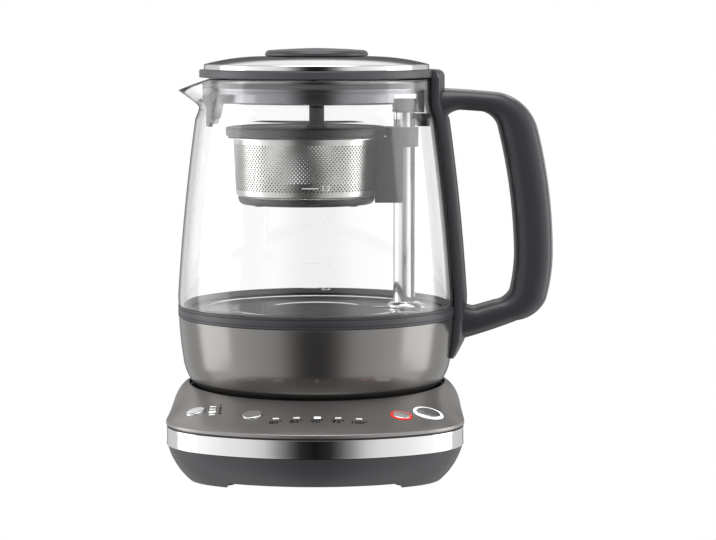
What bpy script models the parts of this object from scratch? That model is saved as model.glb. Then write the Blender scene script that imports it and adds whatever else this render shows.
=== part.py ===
"""Automatic tea maker: a glass jug with a travelling tea basket, standing on a power base with buttons.

Sizes are in metres, written as millimetres times MM. Heights are above the table, radii and plan places are
from the jug's axis, and the front of the tea maker faces -Y. The handle points to +X and the spout to -X.
"""
import math

import bmesh
import bpy

MM = 0.001
FIT = 0.3 * MM
MERGE = 0.000001
ROUND_STEPS = 32
INNER_STEPS = 24
SMALL_STEPS = 16
SCREW_STEPS = 12
BASE_STEPS = 40

# Power base
BASE_HALF_WIDTH = 83.0 * MM
BASE_FRONT_REACH = 122.0 * MM
BASE_FRONT_ARC = 0.918 * BASE_FRONT_REACH
BASE_CORNER_ARC = 0.554 * BASE_HALF_WIDTH
BASE_WALL = 2.2 * MM
BASE_SKIRT_GAP = 0.8 * MM
BASE_FLOOR_UNDER = 4.2 * MM
BASE_TAPER = 12.0 * MM
BASE_TAPER_BULGE = 1.7 * MM
FOOT_GAP_HEIGHT = 3.7 * MM
FRONT_GAP_HALF = 0.554 * BASE_HALF_WIDTH
REAR_GAP_HALF = 0.41 * BASE_HALF_WIDTH
SIDE_GAP_FRONT = 0.393 * BASE_FRONT_REACH
SIDE_GAP_REAR = 0.265 * BASE_HALF_WIDTH
GAP_SLANT = 4.5 * MM
FOOT_RADIUS = 7.0 * MM
FOOT_INSET = 24.8 * MM
FRONT_FOOT_ANGLE = math.radians(32.0)
REAR_FOOT_ANGLE = math.radians(132.0)
BAND_BOTTOM = 20.5 * MM
BAND_HEIGHT = 10.0 * MM
BAND_THICKNESS = 1.0 * MM
BAND_INSET = 0.4 * MM
SCREW_PLACE = (0.36 * BASE_HALF_WIDTH, 0.6 * BASE_HALF_WIDTH)
SCREW_RADIUS = 1.4 * MM
SCREW_HEAD_RADIUS = 2.8 * MM
SCREW_HEAD_HEIGHT = 1.8 * MM
SCREW_LENGTH = 17.0 * MM
GLAND_RADIUS = 5.0 * MM
GLAND_HEIGHT = 13.0 * MM
GLAND_LENGTH = 9.0 * MM
GLAND_MOUTH_RADIUS = 3.0 * MM

# Top cover and jug seat
COVER_WALL = 1.8 * MM
COVER_RISE = 13.4 * MM
COVER_SHOULDER = 0.6
SEAT_EDGE_RADIUS = 0.892 * BASE_HALF_WIDTH
SEAT_LEAN = 1.6 * MM
SEAT_DEPTH = 8.8 * MM
SEAT_FLOOR_RADIUS = 0.932 * SEAT_EDGE_RADIUS
SEAT_WALL = 1.8 * MM
SEAT_FLANGE = 2.2 * MM
CONNECTOR_RADIUS = 20.0 * MM
CONNECTOR_HEIGHT = 7.5 * MM
CONTACT_GROOVE_INNER = 9.3 * MM
CONTACT_GROOVE_OUTER = 13.2 * MM
CONTACT_DEPTH = 5.0 * MM
CENTRE_PIN_RADIUS = 2.6 * MM

# Control panel
# A place is an angle from the front and a share of the way from the seat edge to the side
PRESS_TILT = math.radians(12.0)
BUTTON_TRAVEL = 1.0 * MM
CAP_PROUD = 0.7 * MM
CAP_DISH = 0.25 * MM
CAP_FLANGE = 1.2 * MM
FLANGE_GAP = 0.9 * MM
PLUNGER_RADIUS = 2.0 * MM
STRENGTH_BUTTON = (math.radians(-41.7), 0.6, 5.4 * MM)
TEMPERATURE_BUTTON = (math.radians(-20.3), 0.51, 5.4 * MM)
WARM_BUTTON = (math.radians(28.1), 0.575, 4.8 * MM)
START_BUTTON = (math.radians(38.5), 0.6, 7.0 * MM)
LIGHT_RING_WIDTH = 0.9 * MM
LIGHT_RING_PROUD = 0.3 * MM
WINDOW_WIDTH = 3.6 * MM
WINDOW_DEPTH = 1.8 * MM
STRENGTH_LIGHTS = (math.radians(-35.9), 0.49)
STRENGTH_LIGHT_PITCH = 4.2 * MM
TEMPERATURE_LIGHTS = (math.radians(1.0), 0.53)
TEMPERATURE_LIGHT_PITCH = 11.3 * MM
GUIDE_DROP = 3.6 * MM
GUIDE_BAR = 1.6 * MM
BOARD_DEPTH = 18.0 * MM
BOARD_THICKNESS = 1.6 * MM
BOARD_INNER_RADIUS = 1.08 * SEAT_EDGE_RADIUS
BOARD_EDGE_GAP = 9.0 * MM
BOARD_SPREAD = math.radians(50.0)
BOARD_BOSS_RADIUS = 3.5 * MM
BOARD_BOSS_ANGLE = math.radians(30.0)
SWITCH_SIZE = 6.0 * MM
SWITCH_HEIGHT = 3.4 * MM
SWITCH_TIP_RADIUS = 1.5 * MM
SWITCH_TIP_HEIGHT = 0.8 * MM

# Jug
JUG_RADIUS = 0.9663 * BASE_HALF_WIDTH
NECK_RADIUS = 0.834 * JUG_RADIUS
SHOULDER_RADIUS = 1.043 * NECK_RADIUS
GLASS_WALL = 2.7 * MM
GLASS_HEIGHT = 130.1 * MM
NECK_HEIGHT = 13.0 * MM
SHOULDER_DROP = 23.5 * MM
GLASS_BULGE = 1.0 * MM
GLASS_FOOT_ARC = 5.0 * MM
GLASS_FACET = 0.4 * MM
SPOUT_REACH = 12.5 * MM
SPOUT_DROP = 7.0 * MM
SPOUT_DEPTH = 17.0 * MM
SPOUT_SPREAD = math.radians(30.0)
SEAM_HEIGHT = 6.3 * MM
SEAM_SHELF_INNER = 0.885 * JUG_RADIUS
SEAM_SHELF = 2.6 * MM
STEEL_HEIGHT = 46.7 * MM
STEEL_WALL = 1.2 * MM
STEEL_TOP_RADIUS = 0.995 * JUG_RADIUS
STEEL_WAIST_RADIUS = 0.97 * STEEL_TOP_RADIUS
STEEL_WAIST_DROP = 24.5 * MM
STEEL_BOTTOM_RADIUS = 0.935 * SEAT_FLOOR_RADIUS
STEEL_SIDE_BULGE = 0.35 * MM
STEEL_FOOT_BULGE = 2.8 * MM
STEEL_LIP = 2.8 * MM
JUG_FOOT_RADIUS = 0.915 * STEEL_BOTTOM_RADIUS
JUG_FOOT_WIDTH = 4.0 * MM
JUG_FOOT_HEIGHT = 1.0 * MM
BOTTOM_COVER = 2.4 * MM
SOCKET_CLEARANCE = 1.5 * MM
SOCKET_WALL = 2.2 * MM
SOCKET_FLANGE = 4.5 * MM
FLOOR_THICKNESS = 1.2 * MM
HEATER_RADIUS = 32.0 * MM
HEATER_TUBE = 4.0 * MM
SENSOR_RADIUS = 7.0 * MM
SENSOR_HEIGHT = 7.0 * MM
GLASS_SEAL_HEIGHT = 3.2 * MM
GLASS_SEAL_WIDTH = 3.6 * MM

# Lift post and basket drive
POST_INSET = 16.3 * MM
POST_X = NECK_RADIUS - POST_INSET
POST_RADIUS = 6.35 * MM
POST_WALL = 0.8 * MM
POST_FOOT_RADIUS = 10.0 * MM
POST_FOOT_HEIGHT = 3.2 * MM
POST_BELOW_FLOOR = 11.0 * MM
POST_CAP_RADIUS = 7.1 * MM
POST_CAP_HEIGHT = 8.0 * MM
POST_TOP_DROP = 12.0 * MM
MOTOR_RADIUS = 11.0 * MM
MOTOR_HEIGHT = 16.0 * MM
MOTOR_STAND_WALL = 2.0 * MM
LEAD_SCREW_RADIUS = 2.4 * MM

# Lid
LID_RING_RADIUS = 1.0075 * NECK_RADIUS
LID_RING_HEIGHT = 4.4 * MM
LID_RING_BORE = 0.747 * NECK_RADIUS
DOME_RADIUS = 0.967 * NECK_RADIUS
DOME_SIDE = 2.9 * MM
DOME_HEIGHT = 7.2 * MM
DOME_BULGE = 1.1 * MM
DOME_WALL = 1.0 * MM
DOME_LAND_RADIUS = 0.463 * NECK_RADIUS
KNOB_RADIUS = 0.4425 * NECK_RADIUS
KNOB_HEIGHT = 4.5 * MM
KNOB_STUB_RADIUS = 8.0 * MM
LID_SEAL_SPACE = 2.2 * MM
PLUG_RADIUS = NECK_RADIUS - GLASS_WALL - LID_SEAL_SPACE
PLUG_DEPTH = 8.5 * MM
PLUG_NECK_RADIUS = 0.903 * PLUG_RADIUS
PLUG_NECK_DEPTH = 5.8 * MM
PLUG_FLAT_X = 0.86 * POST_X
LID_SEAL_DROP = 2.4 * MM
LID_SEAL_HEIGHT = 3.0 * MM
TONGUE_THICKNESS = 1.9 * MM
TONGUE_LENGTH = 22.0 * MM
TONGUE_TOP_HALF = math.radians(29.0)
TONGUE_FOOT_HALF = math.radians(20.0)
REAR_TAB_HALF = 9.0 * MM
REAR_TAB_DEPTH = 11.0 * MM
REAR_TAB_THICKNESS = 3.4 * MM

# Tea basket
BASKET_TRAVEL = 50.0 * MM
RIM_RADIUS = 0.695 * NECK_RADIUS
RIM_TO_POST = 10.1 * MM
BASKET_X = POST_X - RIM_RADIUS - RIM_TO_POST
RIM_BORE = 0.869 * RIM_RADIUS
RIM_HEIGHT = 4.5 * MM
RIM_STEP_RADIUS = 0.929 * RIM_RADIUS
RIM_STEP_DEPTH = 2.4 * MM
BASKET_DROP = 14.3 * MM
CUP_TOP_RADIUS = 0.8925 * RIM_RADIUS
CUP_FOOT_RADIUS = 0.964 * CUP_TOP_RADIUS
CUP_HEIGHT = 34.6 * MM
CUP_WALL = 0.8 * MM
CUP_FLANGE_RADIUS = 0.976 * RIM_RADIUS
BASKET_BASE_HEIGHT = 4.0 * MM
NUB_RADIUS = 3.0 * MM
NUB_HEIGHT = 2.0 * MM
NUB_SPREAD = 0.675 * CUP_FOOT_RADIUS
COLLAR_WALL = 1.5 * MM
COLLAR_HEIGHT = 11.0 * MM
CARRIAGE_HEIGHT = 43.0 * MM
CARRIAGE_BACK_X = 0.975 * POST_X
MAGNET_HEIGHT = 9.0 * MM
MAGNET_GAP = 0.4 * MM
STEM_RADIUS = 4.35 * MM
STEM_SOCKET_DEPTH = 6.3 * MM
BASKET_LID_THICKNESS = 1.6 * MM

# Handle
SPINE_HALF_WIDTH = 14.5 * MM
SPINE_FACE_HALF = 8.5 * MM
SPINE_THICKNESS = 6.6 * MM
SPINE_RISE = 4.8 * MM
SPINE_BOTTOM = 61.0 * MM
SPINE_HOOK = 2.0 * MM
SPINE_NOSE = 4.0 * MM
GRIP_REACH = 1.7007 * JUG_RADIUS
GRIP_TOP_DROP = 5.8 * MM
GRIP_BOTTOM = 70.0 * MM
GRIP_THICKNESS = 22.3 * MM
GRIP_ARM = 12.6 * MM
GRIP_LOWER_ARM = 20.0 * MM
GRIP_HALF_DEPTH = 11.5 * MM
GRIP_ROOT = 5.0 * MM
GRIP_SQUARENESS = 2.8
GRIP_SPLIT = 0.62
CLAMP_HEIGHT = 8.0 * MM
CLAMP_DROP = 20.0 * MM
CLAMP_HALF_WIDTH = 7.0 * MM

# Heights that follow from the sizes above
BAND_TOP = BAND_BOTTOM + BAND_HEIGHT
BODY_RIM = BAND_TOP + 0.8 * MM
COVER_BOTTOM = BODY_RIM + FIT
COVER_LIP_TOP = COVER_BOTTOM + COVER_WALL
SEAT_EDGE = COVER_LIP_TOP + COVER_RISE
SEAT_FLOOR = SEAT_EDGE - SEAT_DEPTH
FLOOR_TOP = BASE_FLOOR_UNDER + BASE_WALL
JUG_BOTTOM = SEAT_FLOOR + FIT
STEEL_BOTTOM = JUG_BOTTOM + JUG_FOOT_HEIGHT + 0.8 * MM
STEEL_TOP = JUG_BOTTOM + STEEL_HEIGHT
SEAM_BOTTOM = STEEL_TOP + FIT
SEAM_TOP = SEAM_BOTTOM + SEAM_HEIGHT
SHELF_TOP = SEAM_BOTTOM + SEAM_SHELF
JUG_FLOOR_UNDER = SHELF_TOP + FIT
JUG_FLOOR = JUG_FLOOR_UNDER + FLOOR_THICKNESS
GLASS_BOTTOM = SEAM_TOP + FIT
GLASS_TOP = GLASS_BOTTOM + GLASS_HEIGHT
LID_RING_BOTTOM = GLASS_TOP + FIT
DOME_BOTTOM = LID_RING_BOTTOM + LID_RING_HEIGHT + FIT
DOME_TOP = DOME_BOTTOM + DOME_HEIGHT
KNOB_BOTTOM = DOME_TOP + FIT
PLUG_TOP = GLASS_TOP
PLUG_STEP = PLUG_TOP - PLUG_DEPTH
PLUG_BOTTOM = PLUG_STEP - PLUG_NECK_DEPTH
BASKET_RIM_TOP = PLUG_BOTTOM - BASKET_DROP
BASKET_RIM_BOTTOM = BASKET_RIM_TOP - RIM_HEIGHT
CUP_TOP = BASKET_RIM_BOTTOM - FIT
CUP_BOTTOM = CUP_TOP - CUP_HEIGHT
POST_CAP_TOP = GLASS_TOP - POST_TOP_DROP
POST_TOP = POST_CAP_TOP - POST_CAP_HEIGHT + FIT
POST_BOTTOM = JUG_FLOOR_UNDER - POST_BELOW_FLOOR
NECK_BORE = NECK_RADIUS - GLASS_WALL
BASE_CORNER_X = BASE_HALF_WIDTH - BASE_CORNER_ARC
BASE_ARC_CENTRE = BASE_FRONT_REACH - BASE_FRONT_ARC
BASE_CORNER_Y = BASE_ARC_CENTRE + math.sqrt((BASE_FRONT_ARC - BASE_CORNER_ARC) ** 2 - BASE_CORNER_X ** 2)


def start_empty_scene():
    """Removes what the scene holds, so that only the tea maker is left."""
    for item in list(bpy.data.objects):
        bpy.data.objects.remove(item, do_unlink=True)


# Finishes: colour as sRGB hex, roughness, metallic, alpha
FINISHES = {
    "smoked steel": ("8C8A86", 0.25, 1.0, 1.0),
    "polished steel": ("D8D8D8", 0.08, 1.0, 1.0),
    "brushed steel": ("C4C4C2", 0.35, 1.0, 1.0),
    "charcoal plastic": ("3B3B42", 0.45, 0.0, 1.0),
    "grey plastic": ("505055", 0.42, 0.0, 1.0),
    "black plastic": ("1C1C1E", 0.5, 0.0, 1.0),
    "clear glass": ("EEF4F4", 0.03, 0.0, 0.25),
    "clear plastic": ("F2F2EE", 0.2, 0.0, 0.8),
    "red plastic": ("C02A24", 0.3, 0.0, 1.0),
    "silicone": ("B8B8B4", 0.6, 0.0, 1.0),
    "rubber": ("222224", 0.8, 0.0, 1.0),
    "circuit board": ("1F5A38", 0.5, 0.0, 1.0),
    "magnet": ("6A6A70", 0.4, 1.0, 1.0),
}


def linear(channel):
    """Turns one sRGB channel from 0 to 1 into its linear value."""
    if channel <= 0.04045:
        return channel / 12.92
    return ((channel + 0.055) / 1.055) ** 2.4


def give_material(piece, finish):
    """Gives a piece a Principled material of its own, in one of the finishes above."""
    code, roughness, metallic, alpha = FINISHES[finish]
    colour = [linear(int(code[k:k + 2], 16) / 255.0) for k in (0, 2, 4)]
    material = bpy.data.materials.new(piece.name + "_" + finish.replace(" ", "_"))
    material.use_nodes = True
    shader = material.node_tree.nodes["Principled BSDF"]
    shader.inputs["Base Color"].default_value = (*colour, 1.0)
    shader.inputs["Roughness"].default_value = roughness
    shader.inputs["Metallic"].default_value = metallic
    shader.inputs["Alpha"].default_value = alpha
    material.diffuse_color = (*colour, alpha)
    piece.data.materials.append(material)


def add_empty(name, parent=None, place=(0.0, 0.0, 0.0)):
    """Adds an empty that carries one moving body."""
    empty = bpy.data.objects.new(name, None)
    bpy.context.collection.objects.link(empty)
    empty.parent = parent
    empty.location = place
    return empty


def finish_piece(bm, name, finish, parent, place=(0.0, 0.0, 0.0), tilt=0.0):
    """Turns a bmesh into a named object with its material, on its parent."""
    bmesh.ops.remove_doubles(bm, verts=bm.verts, dist=MERGE)
    bmesh.ops.recalc_face_normals(bm, faces=bm.faces)
    mesh = bpy.data.meshes.new(name)
    bm.to_mesh(mesh)
    bm.free()
    mesh.shade_smooth()
    mesh.set_sharp_from_angle(angle=math.radians(35.0))
    piece = bpy.data.objects.new(name, mesh)
    bpy.context.collection.objects.link(piece)
    piece.parent = parent
    piece.location = place
    piece.rotation_euler = (tilt, 0.0, 0.0)
    if finish:
        give_material(piece, finish)
    return piece


def arc_points(start, end, bulge, steps):
    """Points of an arc between two points; a positive bulge lies to the right of the way to the end."""
    length = math.dist(start, end)
    along = ((end[0] - start[0]) / length, (end[1] - start[1]) / length)
    right = (along[1], -along[0])
    points = []
    if abs(bulge) < MERGE:
        shares = [k / steps for k in range(steps + 1)]
        return [(start[0] + length * s * along[0], start[1] + length * s * along[1]) for s in shares]
    radius = (length * length / 4.0 + bulge * bulge) / (2.0 * abs(bulge))
    half = math.asin(min(1.0, length / 2.0 / radius))
    side = math.copysign(1.0, bulge)
    for k in range(steps + 1):
        turn = half * (2.0 * k / steps - 1.0)
        go = length / 2.0 + radius * math.sin(turn)
        out = side * radius * (math.cos(turn) - math.cos(half))
        points.append((start[0] + go * along[0] + out * right[0], start[1] + go * along[1] + out * right[1]))
    return points


def chain(*runs):
    """Joins runs of points end to end and leaves out points that repeat."""
    joined = []
    for run in runs:
        for point in run:
            if not joined or math.dist(point, joined[-1]) > MERGE:
                joined.append(point)
    return joined


def across_at(line, height):
    """First coordinate of a rising line of (across, height) points at a height."""
    for (a_low, z_low), (a_high, z_high) in zip(line, line[1:]):
        if z_low <= height <= z_high:
            return a_low + (a_high - a_low) * (height - z_low) / (z_high - z_low)
    return line[-1][0] if height > line[-1][1] else line[0][0]


def turned(name, profile, finish, parent, place=(0.0, 0.0, 0.0), steps=INNER_STEPS, tilt=0.0):
    """Turns a closed profile of (radius, height) points about its Z axis."""
    bm = bmesh.new()
    corners = [bm.verts.new((radius, 0.0, height)) for radius, height in profile]
    edges = []
    for k, corner in enumerate(corners):
        following = corners[(k + 1) % len(corners)]
        on_axis = corner.co.x < MERGE and following.co.x < MERGE
        if not on_axis:
            edges.append(bm.edges.new((corner, following)))
    bmesh.ops.spin(bm, geom=corners + edges, cent=(0, 0, 0), axis=(0, 0, 1), angle=math.tau,
                   steps=steps, use_merge=True)
    return finish_piece(bm, name, finish, parent, place, tilt)


def lofted(name, rings, finish, parent, joined=False, place=(0.0, 0.0, 0.0), tilt=0.0):
    """Skins rings of points; joined closes the last ring onto the first, otherwise both ends are capped."""
    bm = bmesh.new()
    rows = [[bm.verts.new(point) for point in ring] for ring in rings]
    pairs = list(zip(rows, rows[1:]))
    if joined:
        pairs.append((rows[-1], rows[0]))
    else:
        bm.faces.new(rows[0])
        bm.faces.new(rows[-1])
    for low, high in pairs:
        for k in range(len(low)):
            nxt = (k + 1) % len(low)
            bm.faces.new((low[k], low[nxt], high[nxt], high[k]))
    return finish_piece(bm, name, finish, parent, place, tilt)


def extruded(name, outline, low, high, finish, parent, place=(0.0, 0.0, 0.0), tilt=0.0):
    """Extrudes a plan outline from one height to another."""
    rings = [[(x, y, z) for x, y in outline] for z in (low, high)]
    return lofted(name, rings, finish, parent, place=place, tilt=tilt)


def rectangle(x_low, x_high, y_low, y_high):
    """Corners of an upright rectangle in plan."""
    return [(x_low, y_low), (x_high, y_low), (x_high, y_high), (x_low, y_high)]


def combine(piece, tool, operation):
    """Cuts a tool from a piece or joins it on, and hides the tool."""
    modifier = piece.modifiers.new(operation.title() + " " + tool.name, "BOOLEAN")
    modifier.operation = operation
    modifier.solver = "EXACT"
    modifier.object = tool
    tool.hide_render = True
    tool.display_type = "WIRE"
    return piece


def circle_hit(angle, centre_x, centre_y, radius):
    """Distance from the jug axis to a circle, in a direction measured from the front."""
    dot = math.sin(angle) * centre_x + math.cos(angle) * centre_y
    return dot + math.sqrt(radius * radius - centre_x ** 2 - centre_y ** 2 + dot * dot)


def base_radius(angle, inset):
    """Distance from the jug axis to the base's side; angle is measured from the front, inset moves it in."""
    turn = abs(math.remainder(angle, math.tau))
    reach = BASE_HALF_WIDTH - inset
    if turn >= math.pi / 2.0 - MERGE:
        return reach
    side = reach / max(math.sin(turn), MERGE)
    if side * math.cos(turn) <= BASE_CORNER_Y:
        return side
    front = circle_hit(turn, 0.0, BASE_ARC_CENTRE, BASE_FRONT_ARC - inset)
    over = front * math.sin(turn)
    ahead = front * math.cos(turn) - BASE_ARC_CENTRE
    if over * (BASE_CORNER_Y - BASE_ARC_CENTRE) <= BASE_CORNER_X * ahead:
        return front
    return circle_hit(turn, BASE_CORNER_X, BASE_CORNER_Y, BASE_CORNER_ARC - inset)


def base_angles():
    """Directions of the points round the base, from the front."""
    return [math.tau * k / BASE_STEPS for k in range(BASE_STEPS)]


def base_ring(inset, height):
    """One level ring of the base's outline."""
    ring = []
    for angle in base_angles():
        radius = base_radius(angle, inset)
        ring.append((radius * math.sin(angle), -radius * math.cos(angle), height))
    return ring


def shoulder(share, power):
    """Rise of the top cover from its lip to the seat's edge, both from 0 to 1."""
    return (1.0 - (1.0 - share) ** power) ** (1.0 / power)


def cover_point(angle, share, wall):
    """Point of the top cover, or of a surface one wall below it, in a direction from the front."""
    outer = base_radius(angle, wall)
    span = outer - SEAT_EDGE_RADIUS
    side_span = BASE_HALF_WIDTH - SEAT_EDGE_RADIUS
    power = 1.0 + COVER_SHOULDER * side_span / (base_radius(angle, 0.0) - SEAT_EDGE_RADIUS)
    radius = outer - span * share
    edge = SEAT_EDGE - SEAT_LEAN * math.cos(angle)
    height = COVER_LIP_TOP + (edge - COVER_LIP_TOP) * shoulder(share, power) - wall
    return (radius * math.sin(angle), -radius * math.cos(angle), height)


def cover_height(x, y, wall=0.0):
    """Height of the top cover over a point in plan."""
    angle = math.atan2(x, -y)
    outer = base_radius(angle, wall)
    share = (outer - math.hypot(x, y)) / (outer - SEAT_EDGE_RADIUS)
    return cover_point(angle, min(1.0, max(0.0, share)), wall)[2]


def cover_ring(share, wall):
    """One ring of the top cover."""
    return [cover_point(angle, share, wall) for angle in base_angles()]


def make_lower_body(body):
    """Charcoal tub with a tapered skirt, a step for the chrome band and gaps between its feet."""
    step = BAND_INSET + BAND_THICKNESS + FIT
    lip = BAND_INSET + 0.5 * MM
    skirt = arc_points((lip + BASE_TAPER, BASE_SKIRT_GAP), (lip, BAND_BOTTOM - FIT), -BASE_TAPER_BULGE, 4)
    foot = lip + BASE_TAPER + BASE_WALL
    corner = across_at(skirt, FLOOR_TOP) + BASE_WALL
    inside = arc_points((step + BASE_WALL, BAND_BOTTOM), (corner, FLOOR_TOP), BASE_TAPER_BULGE / 2.0, 2)
    levels = [(foot, BASE_FLOOR_UNDER), (foot, BASE_SKIRT_GAP)] + skirt
    levels += [(step, BAND_BOTTOM - FIT), (step, BODY_RIM), (step + BASE_WALL, BODY_RIM)] + inside
    tub = lofted("base_lower_body", [base_ring(i, z) for i, z in levels], "charcoal plastic", body)
    for tool in foot_gap_cutters(body):
        combine(tub, tool, "DIFFERENCE")
    for k, angle in enumerate((-BOARD_BOSS_ANGLE, BOARD_BOSS_ANGLE)):
        combine(tub, board_boss(body, k, angle), "UNION")
    for k, place in enumerate(screw_places()):
        hole = turned("screw_hole_%d" % k, bar_profile(SCREW_RADIUS + FIT, 0.0, FLOOR_TOP * 2.0), None, body,
                      (*place, 0.0), SCREW_STEPS)
        combine(tub, hole, "DIFFERENCE")
    drill = bar_profile(GLAND_RADIUS + FIT, -GLAND_LENGTH, GLAND_LENGTH * 2.0)
    gland = turned("gland_hole", drill, None, body,
                   gland_place(), SMALL_STEPS, math.radians(-90.0))
    combine(tub, gland, "DIFFERENCE")
    return tub


def bar_profile(radius, low, high):
    """Profile of a plain round bar."""
    return [(0.0, low), (radius, low), (radius, high), (0.0, high)]


def slanted_gap(half_low, half_high, top):
    """Outline of a gap between feet: wider at the table than at its top."""
    return [(-half_low, -top), (half_low, -top), (half_high, top), (-half_high, top)]


def foot_gap_cutters(body):
    """Cutters that raise the skirt between the feet, one each for the front, the back and the two sides."""
    cutters = []
    low = -FOOT_GAP_HEIGHT
    gaps = (("front_gap", FRONT_GAP_HALF, -1.2, -0.5), ("rear_gap", REAR_GAP_HALF, 0.5, 1.2))
    for name, half, y_low, y_high in gaps:
        outline = slanted_gap(half + GAP_SLANT, half, FOOT_GAP_HEIGHT)
        rings = [[(x, y * BASE_FRONT_REACH, z) for x, z in outline] for y in (y_low, y_high)]
        cutters.append(lofted(name, rings, None, body))
    middle = (SIDE_GAP_REAR - SIDE_GAP_FRONT) / 2.0
    half = (SIDE_GAP_REAR + SIDE_GAP_FRONT) / 2.0
    for name, x_low, x_high in (("left_gap", -1.3, -0.5), ("right_gap", 0.5, 1.3)):
        outline = [(middle - half - GAP_SLANT, low), (middle + half + GAP_SLANT, low),
                   (middle + half, FOOT_GAP_HEIGHT), (middle - half, FOOT_GAP_HEIGHT)]
        rings = [[(x * BASE_HALF_WIDTH, y, z) for y, z in outline] for x in (x_low, x_high)]
        cutters.append(lofted(name, rings, None, body))
    return cutters


def screw_places():
    """Plan places of the four base screws."""
    across, along = SCREW_PLACE
    return [(sx * across, sy * along) for sx in (-1, 1) for sy in (-1, 1)]


def gland_place():
    """Centre of the cord gland, on the inside of the back wall."""
    return (0.0, BASE_HALF_WIDTH - BASE_TAPER, GLAND_HEIGHT)


def press_direction():
    """Way out of the panel along which the buttons travel."""
    return (0.0, -math.sin(PRESS_TILT), math.cos(PRESS_TILT))


def panel_level(x, y, z):
    """Distance of a point from the panel's own plane, which touches the cover at the temperature lights."""
    origin = panel_centre(*TEMPERATURE_LIGHTS)
    out = press_direction()
    return (x - origin[0]) * out[0] + (y - origin[1]) * out[1] + (z - origin[2]) * out[2]


def board_height(x, y, depth):
    """Height of the control board's plane at a plan place, one depth below the panel's plane."""
    out = press_direction()
    return (-depth - panel_level(x, y, 0.0)) / out[2]


def board_boss(body, index, angle):
    """Boss that carries the control board, from the tub's floor up to the board."""
    radius = (BOARD_INNER_RADIUS + base_radius(angle, BOARD_EDGE_GAP)) / 2.0
    x = radius * math.sin(angle)
    y = -radius * math.cos(angle)
    under = BOARD_THICKNESS / math.cos(PRESS_TILT)
    slope = BOARD_BOSS_RADIUS * math.tan(PRESS_TILT)
    top = board_height(x, y, BOARD_DEPTH) - under - slope - FIT
    profile = bar_profile(BOARD_BOSS_RADIUS, FLOOR_TOP - BASE_WALL / 2.0, top)
    return turned("board_boss_%d" % index, profile, None, body, (x, y, 0.0), SCREW_STEPS)


def make_chrome_band(body):
    """Bright band round the base, between the tub's step and the cover's lip."""
    inner = BAND_INSET + BAND_THICKNESS
    levels = [(BAND_INSET, BAND_BOTTOM), (BAND_INSET, BAND_TOP), (inner, BAND_TOP), (inner, BAND_BOTTOM)]
    return lofted("chrome_band", [base_ring(i, z) for i, z in levels], "polished steel", body, joined=True)


def surface_lift(centre, x, y, wall=0.0):
    """Height of the cover over a panel point, in the button's own tilted frame."""
    base_x, base_y, base_z = centre
    lift = 0.0
    for _ in range(8):
        world_y = base_y + y * math.cos(PRESS_TILT) - lift * math.sin(PRESS_TILT)
        height = cover_height(base_x + x, world_y, wall)
        lift = (height - base_z - y * math.sin(PRESS_TILT)) / math.cos(PRESS_TILT)
    return lift


def panel_centre(angle, share):
    """Point of the cover's surface in a direction, a share of the way from the seat's edge to the side."""
    radius = SEAT_EDGE_RADIUS + share * (base_radius(angle, 0.0) - SEAT_EDGE_RADIUS)
    x = radius * math.sin(angle)
    y = -radius * math.cos(angle)
    return (x, y, cover_height(x, y))


def round_points(radius, steps):
    """Plan points of a circle."""
    return [(radius * math.cos(math.tau * k / steps), radius * math.sin(math.tau * k / steps))
            for k in range(steps)]


def surface_ring(centre, radius, offset, wall=0.0, steps=SMALL_STEPS):
    """Ring of points that follows the cover at a distance above or below it."""
    return [(x, y, surface_lift(centre, x, y, wall) + offset) for x, y in round_points(radius, steps)]


def level_ring(radius, height, steps=SMALL_STEPS):
    """Flat ring in a button's own frame."""
    return [(x, y, height) for x, y in round_points(radius, steps)]


def board_lift(centre):
    """Place of the board's top in a button's own frame."""
    return -BOARD_DEPTH - panel_level(*centre)


def make_button(body, name, place, ringed):
    """Button cap on its own empty: a dished cap, a flange under the cover and a plunger to its switch."""
    angle, share, radius = place
    centre = panel_centre(angle, share)
    press = add_empty(name + "_travel", body, centre)
    press.rotation_euler = (PRESS_TILT, 0.0, 0.0)
    flange = radius + CAP_FLANGE + (LIGHT_RING_WIDTH if ringed else 0.0)
    underside = surface_ring(centre, flange, -FLANGE_GAP, COVER_WALL)
    flange_foot = min(point[2] for point in underside) - CAP_FLANGE
    switch_top = board_lift(centre) + FIT + SWITCH_HEIGHT + SWITCH_TIP_HEIGHT
    plunger_foot = switch_top + BUTTON_TRAVEL + FIT
    rings = [level_ring(PLUNGER_RADIUS, plunger_foot), level_ring(PLUNGER_RADIUS, flange_foot),
             level_ring(flange, flange_foot), underside,
             surface_ring(centre, radius, -FLANGE_GAP, COVER_WALL),
             surface_ring(centre, radius, CAP_PROUD - 2.0 * CAP_DISH),
             surface_ring(centre, radius - 2.0 * CAP_DISH, CAP_PROUD),
             surface_ring(centre, radius * 0.5, CAP_PROUD - CAP_DISH)]
    return lofted(name, rings, "polished steel", press)


def make_light_ring(body, name, place, finish):
    """Thin lit ring round a button, level with the cover's underside at its foot."""
    angle, share, radius = place
    centre = panel_centre(angle, share)
    inner = radius + FIT
    outer = inner + LIGHT_RING_WIDTH
    rings = [surface_ring(centre, inner, 0.0, COVER_WALL), surface_ring(centre, inner, LIGHT_RING_PROUD),
             surface_ring(centre, outer, LIGHT_RING_PROUD), surface_ring(centre, outer, 0.0, COVER_WALL)]
    return lofted(name, rings, finish, body, joined=True, place=centre, tilt=PRESS_TILT)


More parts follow.
